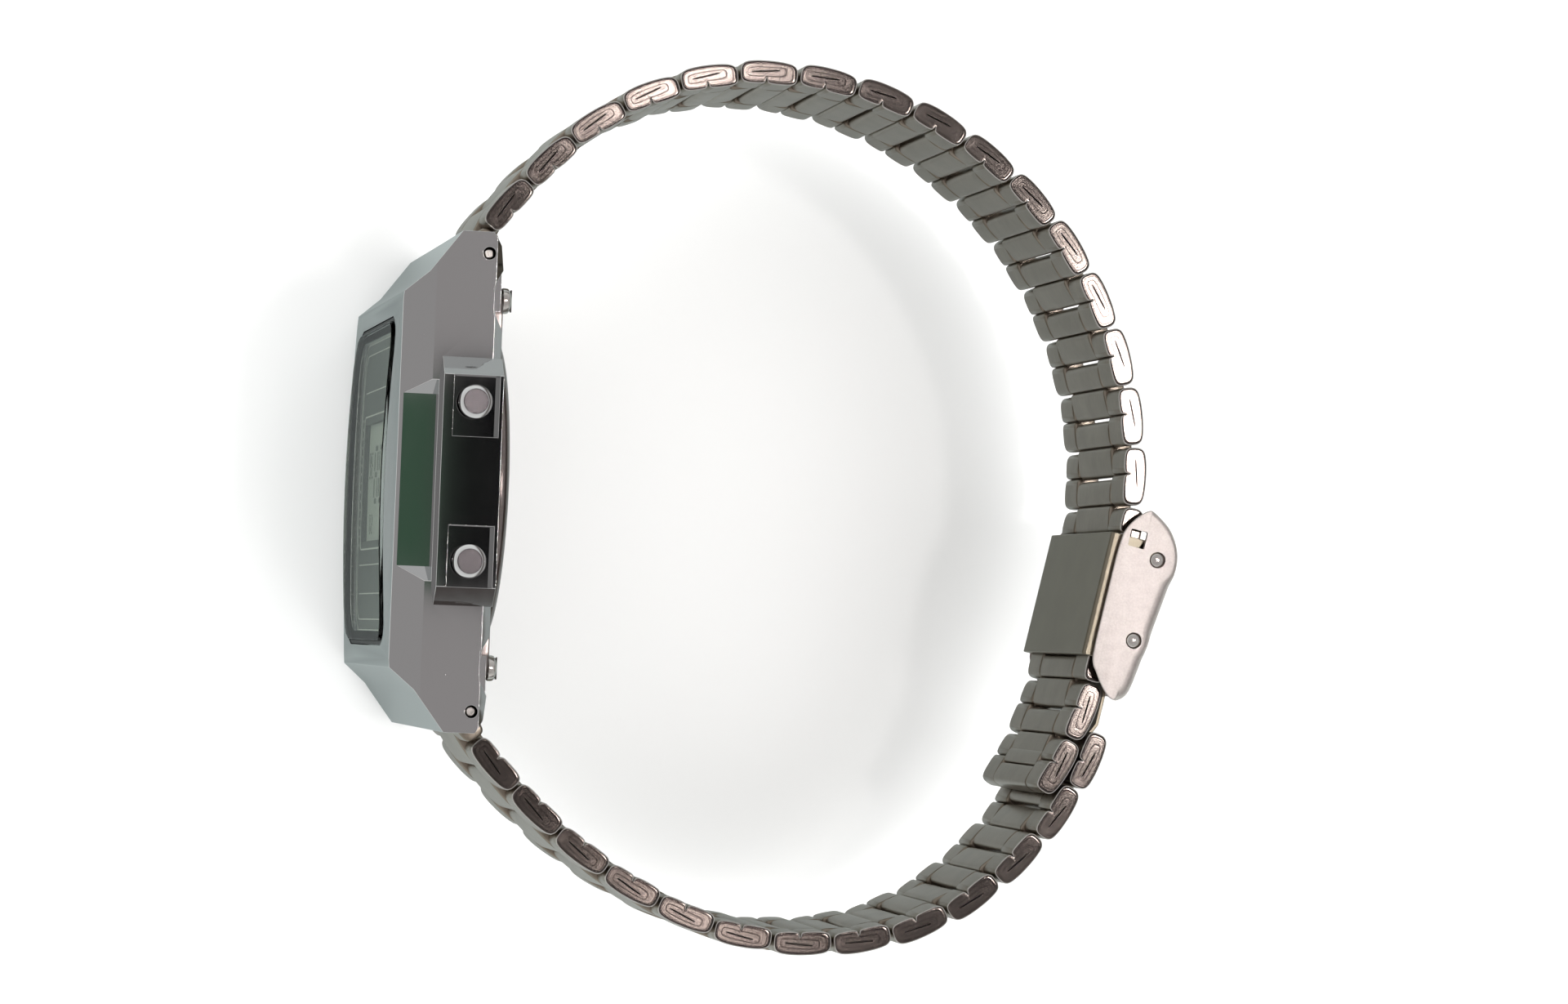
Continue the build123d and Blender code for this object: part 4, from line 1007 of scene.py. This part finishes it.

# %% [markdown]
# Push buttons are turned on a lathe: a flat crown inside a chamfer, on a stem through the wall with
# a clip inside. A profile carried round an axis makes the same shape, and the chamfer's rings get
# the paler chrome of the rounds, a painted highlight.

# %% Push buttons
button_x, button_y, button_top, button_steps = -0.75, 6.1, 16.7 + 1.45 - 0.1, 64
button_profile = [(0, 12.68), (1.1, 12.68), (1.1, 12.98), (0.6, 12.98), (0.6, 17.45), (1.24, 17.45),
                  (1.3, 17.5), (1.3, button_top - 0.30), (1.27, button_top - 0.22),
                  (1.02, button_top - 0.02), (0.97, button_top), (0.92, button_top - 0.03),
                  (0.90, button_top - 0.07), (0.45, button_top - 0.07), (0, button_top - 0.07)]
# the chamfer's rings, which get the painted highlight of the rounds
chamfer_rings = (7, 8, 9)
ring_kind = np.isin(np.arange(len(button_profile) - 1), chamfer_rings).astype(int)
points, quads = turned(button_profile, button_steps)
for name, y, side in (("light", button_y, 1), ("mode", -button_y, 1), ("alarm", button_y, -1)):
    place = place_in_case((button_x, y, 0), (1, 0, 0), (0, side, 0), (0, 0, side))
    add_piece("chrome_button_" + name, points, quads, place, "button_" + name, ["button_" + name],
              [button_chrome, highlight_chrome], np.repeat(ring_kind, button_steps),
              sharp=28)
print("button:", len(quads), "quads")

# %% [markdown]
# The back is a flat plate with a round dome for the sounder, held by four screws in its corners.
# Dome, screws and spring bars are turned like the buttons. A screw's slot is a thin trough set into
# its crown, dark with painted shade, and a spring bar is a thick tube between two thin tips.

# %% Case back, screws and spring bars
back_front, back_sheet, dome_radius = 0.9, 0.6, 12.8
screw_out, screw_across = 14.2, 13.2
seat = back_front + back_sheet
screw_profile = [(0, -2.25), (0.5, -2.25), (0.5, seat), (0.92, seat), (1.0, seat + 0.08),
                 (1.0, seat + 0.34), (0.96, seat + 0.50)]
screw_profile += [(radius, seat + 0.80 - 0.26 * radius ** 2) for radius in (0.8, 0.6, 0.4, 0.2, 0)]
screw_points, screw_quads = turned(screw_profile, 40)
slot_edge = rounded_rectangle(0.86, 0.13, 0.06, 3)
slot_points = np.vstack([at_height(slot_edge, seat + 0.70), at_height(slot_edge, seat + 0.805),
                         at_height(slot_edge * 0, seat + 0.805)])
slot_quads = ring_quads(3, len(slot_edge))


def on_back(y, z):
    """A place on the case back whose Z looks out of the back, +X."""
    return place_in_case((0, y, z), (0, 1, 0), (0, 0, 1), (1, 0, 0))


screw_places = [on_back(end * screw_out, side * screw_across)
                for end in (1, -1) for side in (1, -1)]
points, quads = joined([(placed(screw_points, place), screw_quads) for place in screw_places])
add_piece("steel_back_screws", points, quads, np.eye(4), "case", ["back_screws"],
          [rivet_polished])
points, quads = joined([(placed(slot_points, place), slot_quads) for place in screw_places])
# the slots' dark steel is painted shade
add_piece("steel_screw_slots", points, quads, np.eye(4), "case", [], [painted_shade_inside])

plate = rounded_rectangle(15.6, 14.6, 2.6, 8)
normals = outline_normals(plate)
rings = [at_height(plate * 0.0, back_front), at_height(plate, back_front),
         at_height(plate, seat - 0.12), at_height(plate - normals * 0.04, seat - 0.04),
         at_height(plate - normals * 0.12, seat), at_height(plate * 0.0, seat)]
skirt = [(0, seat - 0.1), (dome_radius, seat - 0.1), (dome_radius, back_front + 1.25),
         (0, back_front + 1.25)]
dome = [(0, back_front + 1.2), (dome_radius, back_front + 1.2), (dome_radius, 2.35), (12.72, 2.5),
        (12.5, 2.66), (12.0, 2.86), (11.0, 3.0), (9.0, 3.14), (6.0, 3.24), (3.0, 3.29), (0, 3.3)]
points, quads = joined([(np.vstack(rings), ring_quads(len(rings), len(plate))),
                        turned(skirt, 128), turned(dome, 128)])
add_piece("steel_back_plate", points, quads, on_back(0, 0), "case", ["back_plate"],
          [back_brushed])

half_bar = [(0.6, 9.05), (0.42, 9.05), (0.42, 16.05), (0.30, 16.2), (0, 16.2)]
bar_profile = [(radius, -z) for radius, z in half_bar[::-1]] + half_bar
bar_points, bar_quads = turned(bar_profile, 32)
points, quads = joined([(bar_points + (0, end * bar_y, 0), bar_quads) for end in (1, -1)])
case_place = place_in_case((0, 0, 0), (1, 0, 0), (0, 1, 0), (0, 0, 1))
add_piece("steel_spring_bars", points, quads, case_place, "case", ["spring_bars"],
          [spring_steel])
print("back, screws and bars are turned; screws:", len(screw_places))

# %% [markdown]
# What is left of the CAD is right as it is and only gets its finish.

# %% Finishes of carried-over nodes
carried = {"dial_panel": dial_film, "lcd_panel": lcd_film, "module_frame": module_plastic,
           "circuit_board": board_laminate, "battery": cell_nickel, "battery_strap": spring_steel,
           "buzzer_disc": sounder_brass, "back_gasket": gasket_rubber, "button_seals": gasket_rubber}
for node, material in carried.items():
    mesh = frame["nodes"][node].data
    mesh.materials.clear()
    mesh.materials.append(material)
print("carried over:", ", ".join(carried))

# %% [markdown]
# The floor is plain and pale. The one in the photograph was darker than its white cut-out, so what
# the metal and the glass mirror of it is a mid grey, which is also painted shade for the floor
# beside the case. A polished watch shows its room, so the room is a pale studio whose walls are
# brighter than its ceiling, apart from a dark one at the clasp's side. The ceiling has what a
# product shot has: soft white panels that light link ends, and a black card and a green one that
# the polished side reflects.

# %% Floor and studio
floor_half, floor_drop = 1.2, 0.00002      # metres
floor_grid = np.linspace(-floor_half, floor_half, 3)
x, y = np.meshgrid(floor_grid, floor_grid, indexing="xy")
floor_points = np.stack((x, y, np.full_like(x, -floor_drop)), -1).reshape(-1, 3)
floor_mesh = bpy.data.meshes.new("pale_floor")
floor_mesh.from_pydata(floor_points.tolist(), [], strip_quads(3, 3).tolist())
floor = bpy.data.objects.new("pale_floor", floor_mesh)
bpy.context.scene.collection.objects.link(floor)
floor_material, tree, coordinates = new_material("pale_matt_floor")
clouds = grains(tree, coordinates, (0.01,) * 3, detail=2)
pale = add_node(tree, "ShaderNodeValToRGB", {"Fac": clouds},
                stops=[(0.3, "#f1f1f0"), (0.7, "#f4f4f3")])
# in mirrors the floor is mid grey: a darker floor, and painted shade beside the case
in_mirror = add_node(tree, "ShaderNodeLightPath", out="Is Glossy Ray")
seen = add_node(tree, "ShaderNodeMix", {"Factor": in_mirror, "A": pale, "B": linear("#adb4b3")},
                {"data_type": "RGBA"}, out="Result")
shader = add_node(tree, "ShaderNodeBsdfPrincipled", {"Base Color": seen, "Roughness": 0.9})
add_node(tree, "ShaderNodeOutputMaterial", {"Surface": shader})
floor_mesh.materials.append(floor_material)

world = bpy.data.worlds.new("studio")
bpy.context.scene.world = world
world.use_nodes = True
sky = world.node_tree
sky.nodes.clear()
direction = add_node(sky, "ShaderNodeTexCoord", out="Generated")
east, north, up = add_node(sky, "ShaderNodeSeparateXYZ", {"Vector": direction}).node.outputs
horizon, wall_from, wall_full, extra_on_matt = 0.02, 1.1, 2.7, 0.9
height = add_node(sky, "ShaderNodeMath", {0: up, 1: horizon}, {"operation": "MAXIMUM"})
right = add_node(sky, "ShaderNodeMath", {0: east, 1: height}, {"operation": "DIVIDE"})
ahead = add_node(sky, "ShaderNodeMath", {0: north, 1: height}, {"operation": "DIVIDE"})


def card(right_range, ahead_range, blur, slant):
    """1 inside a slanted rectangle of the ceiling, given by x / z and y / z, and 0 outside.

    Share = product of four soft steps, two on x / z + slant times y / z and two on y / z.
    """
    slanted = add_node(sky, "ShaderNodeMath", {0: ahead, 1: slant, 2: right},
                       {"operation": "MULTIPLY_ADD"})
    product = 1.0
    for across, (low, high) in ((slanted, right_range), (ahead, ahead_range)):
        for edge, below, above in ((low, 0.0, 1.0), (high, 1.0, 0.0)):
            step = add_node(sky, "ShaderNodeMapRange",
                            {"Value": across, "From Min": edge - blur / 2,
                             "From Max": edge + blur / 2, "To Min": below, "To Max": above},
                            {"interpolation_type": "SMOOTHSTEP"})
            product = add_node(sky, "ShaderNodeMath", {0: product, 1: step},
                               {"operation": "MULTIPLY"})
    return product


# Each card: range of x / z and of y / z, blur of its edge, slant, colour, times as bright.
cards = (
    ((0.1265, 0.150), (0.008, 0.0615), 0.002, 0.0, "#121214", 1),      # black, over the guard
    ((0.1100, 0.1262), (0.010, 0.0555), 0.0015, 0.0, "#4d6f59", 1),    # green, over the channel
    ((0.2715, 0.34), (-0.004, 0.088), 0.004, 0.06, "#fffdfc", 62),     # white, over links 12 to 16
    ((0.165, 0.188), (0.114, 0.140), 0.004, 0.0, "#fffbfa", 64),       # white, over links 4 and 5
    ((0.176, 0.199), (-0.074, -0.052), 0.004, 0.0, "#fff8f6", 26),     # pale, below the case
)
colour = add_node(sky, "ShaderNodeValToRGB", {"Fac": up},
                  stops=[(0.0, "#f9fcfc"), (0.35, "#e7ebeb"), (0.75, "#c4c5c5"), (1.0, "#bfbdbd")])
wall = add_node(sky, "ShaderNodeMapRange",
                {"Value": right, "From Min": wall_from, "From Max": wall_full},
                {"interpolation_type": "SMOOTHSTEP"})
colour = add_node(sky, "ShaderNodeMix", {"Factor": wall, "A": colour, "B": linear("#5d5755")},
                  {"data_type": "RGBA"}, out="Result")
for right_range, ahead_range, blur, slant, shade, times in cards:
    share = card(right_range, ahead_range, blur, slant)
    shade = linear(shade, times)
    colour = add_node(sky, "ShaderNodeMix", {"Factor": share, "A": colour, "B": shade},
                      {"data_type": "RGBA"}, out="Result")
on_matt = add_node(sky, "ShaderNodeLightPath", out="Is Diffuse Ray")
strength = add_node(sky, "ShaderNodeMath", {0: on_matt, 1: extra_on_matt, 2: 1.0},
                    {"operation": "MULTIPLY_ADD"})
background = add_node(sky, "ShaderNodeBackground", {"Color": colour, "Strength": strength})
add_node(sky, "ShaderNodeOutputWorld", {"Surface": background})
print("studio cards:", len(cards))

scene = bpy.context.scene
scene.view_settings.view_transform = "Standard"
# Two soft square panels look at the watch: place in metres, size in metres, watts.
for name, place, size, watts in (("key_panel", (0.55, -0.35, 0.9), 0.9, 7),
                                 ("fill_panel", (-0.8, 0.5, 0.7), 1.0, 5)):
    light = bpy.data.lights.new(name, "AREA")
    light.shape = "SQUARE"
    light.size = size
    light.energy = watts
    lamp = bpy.data.objects.new(name, light)
    lamp.location = place
    lamp.rotation_euler = (-Vector(place)).to_track_quat("-Z", "Y").to_euler()
    lamp.visible_glossy = False
    scene.collection.objects.link(lamp)
print("lights:", len(bpy.data.lights))

# %% [markdown]
# Last, the number of pieces made is printed.

# %% Pieces made
print("pieces made:", len(made))
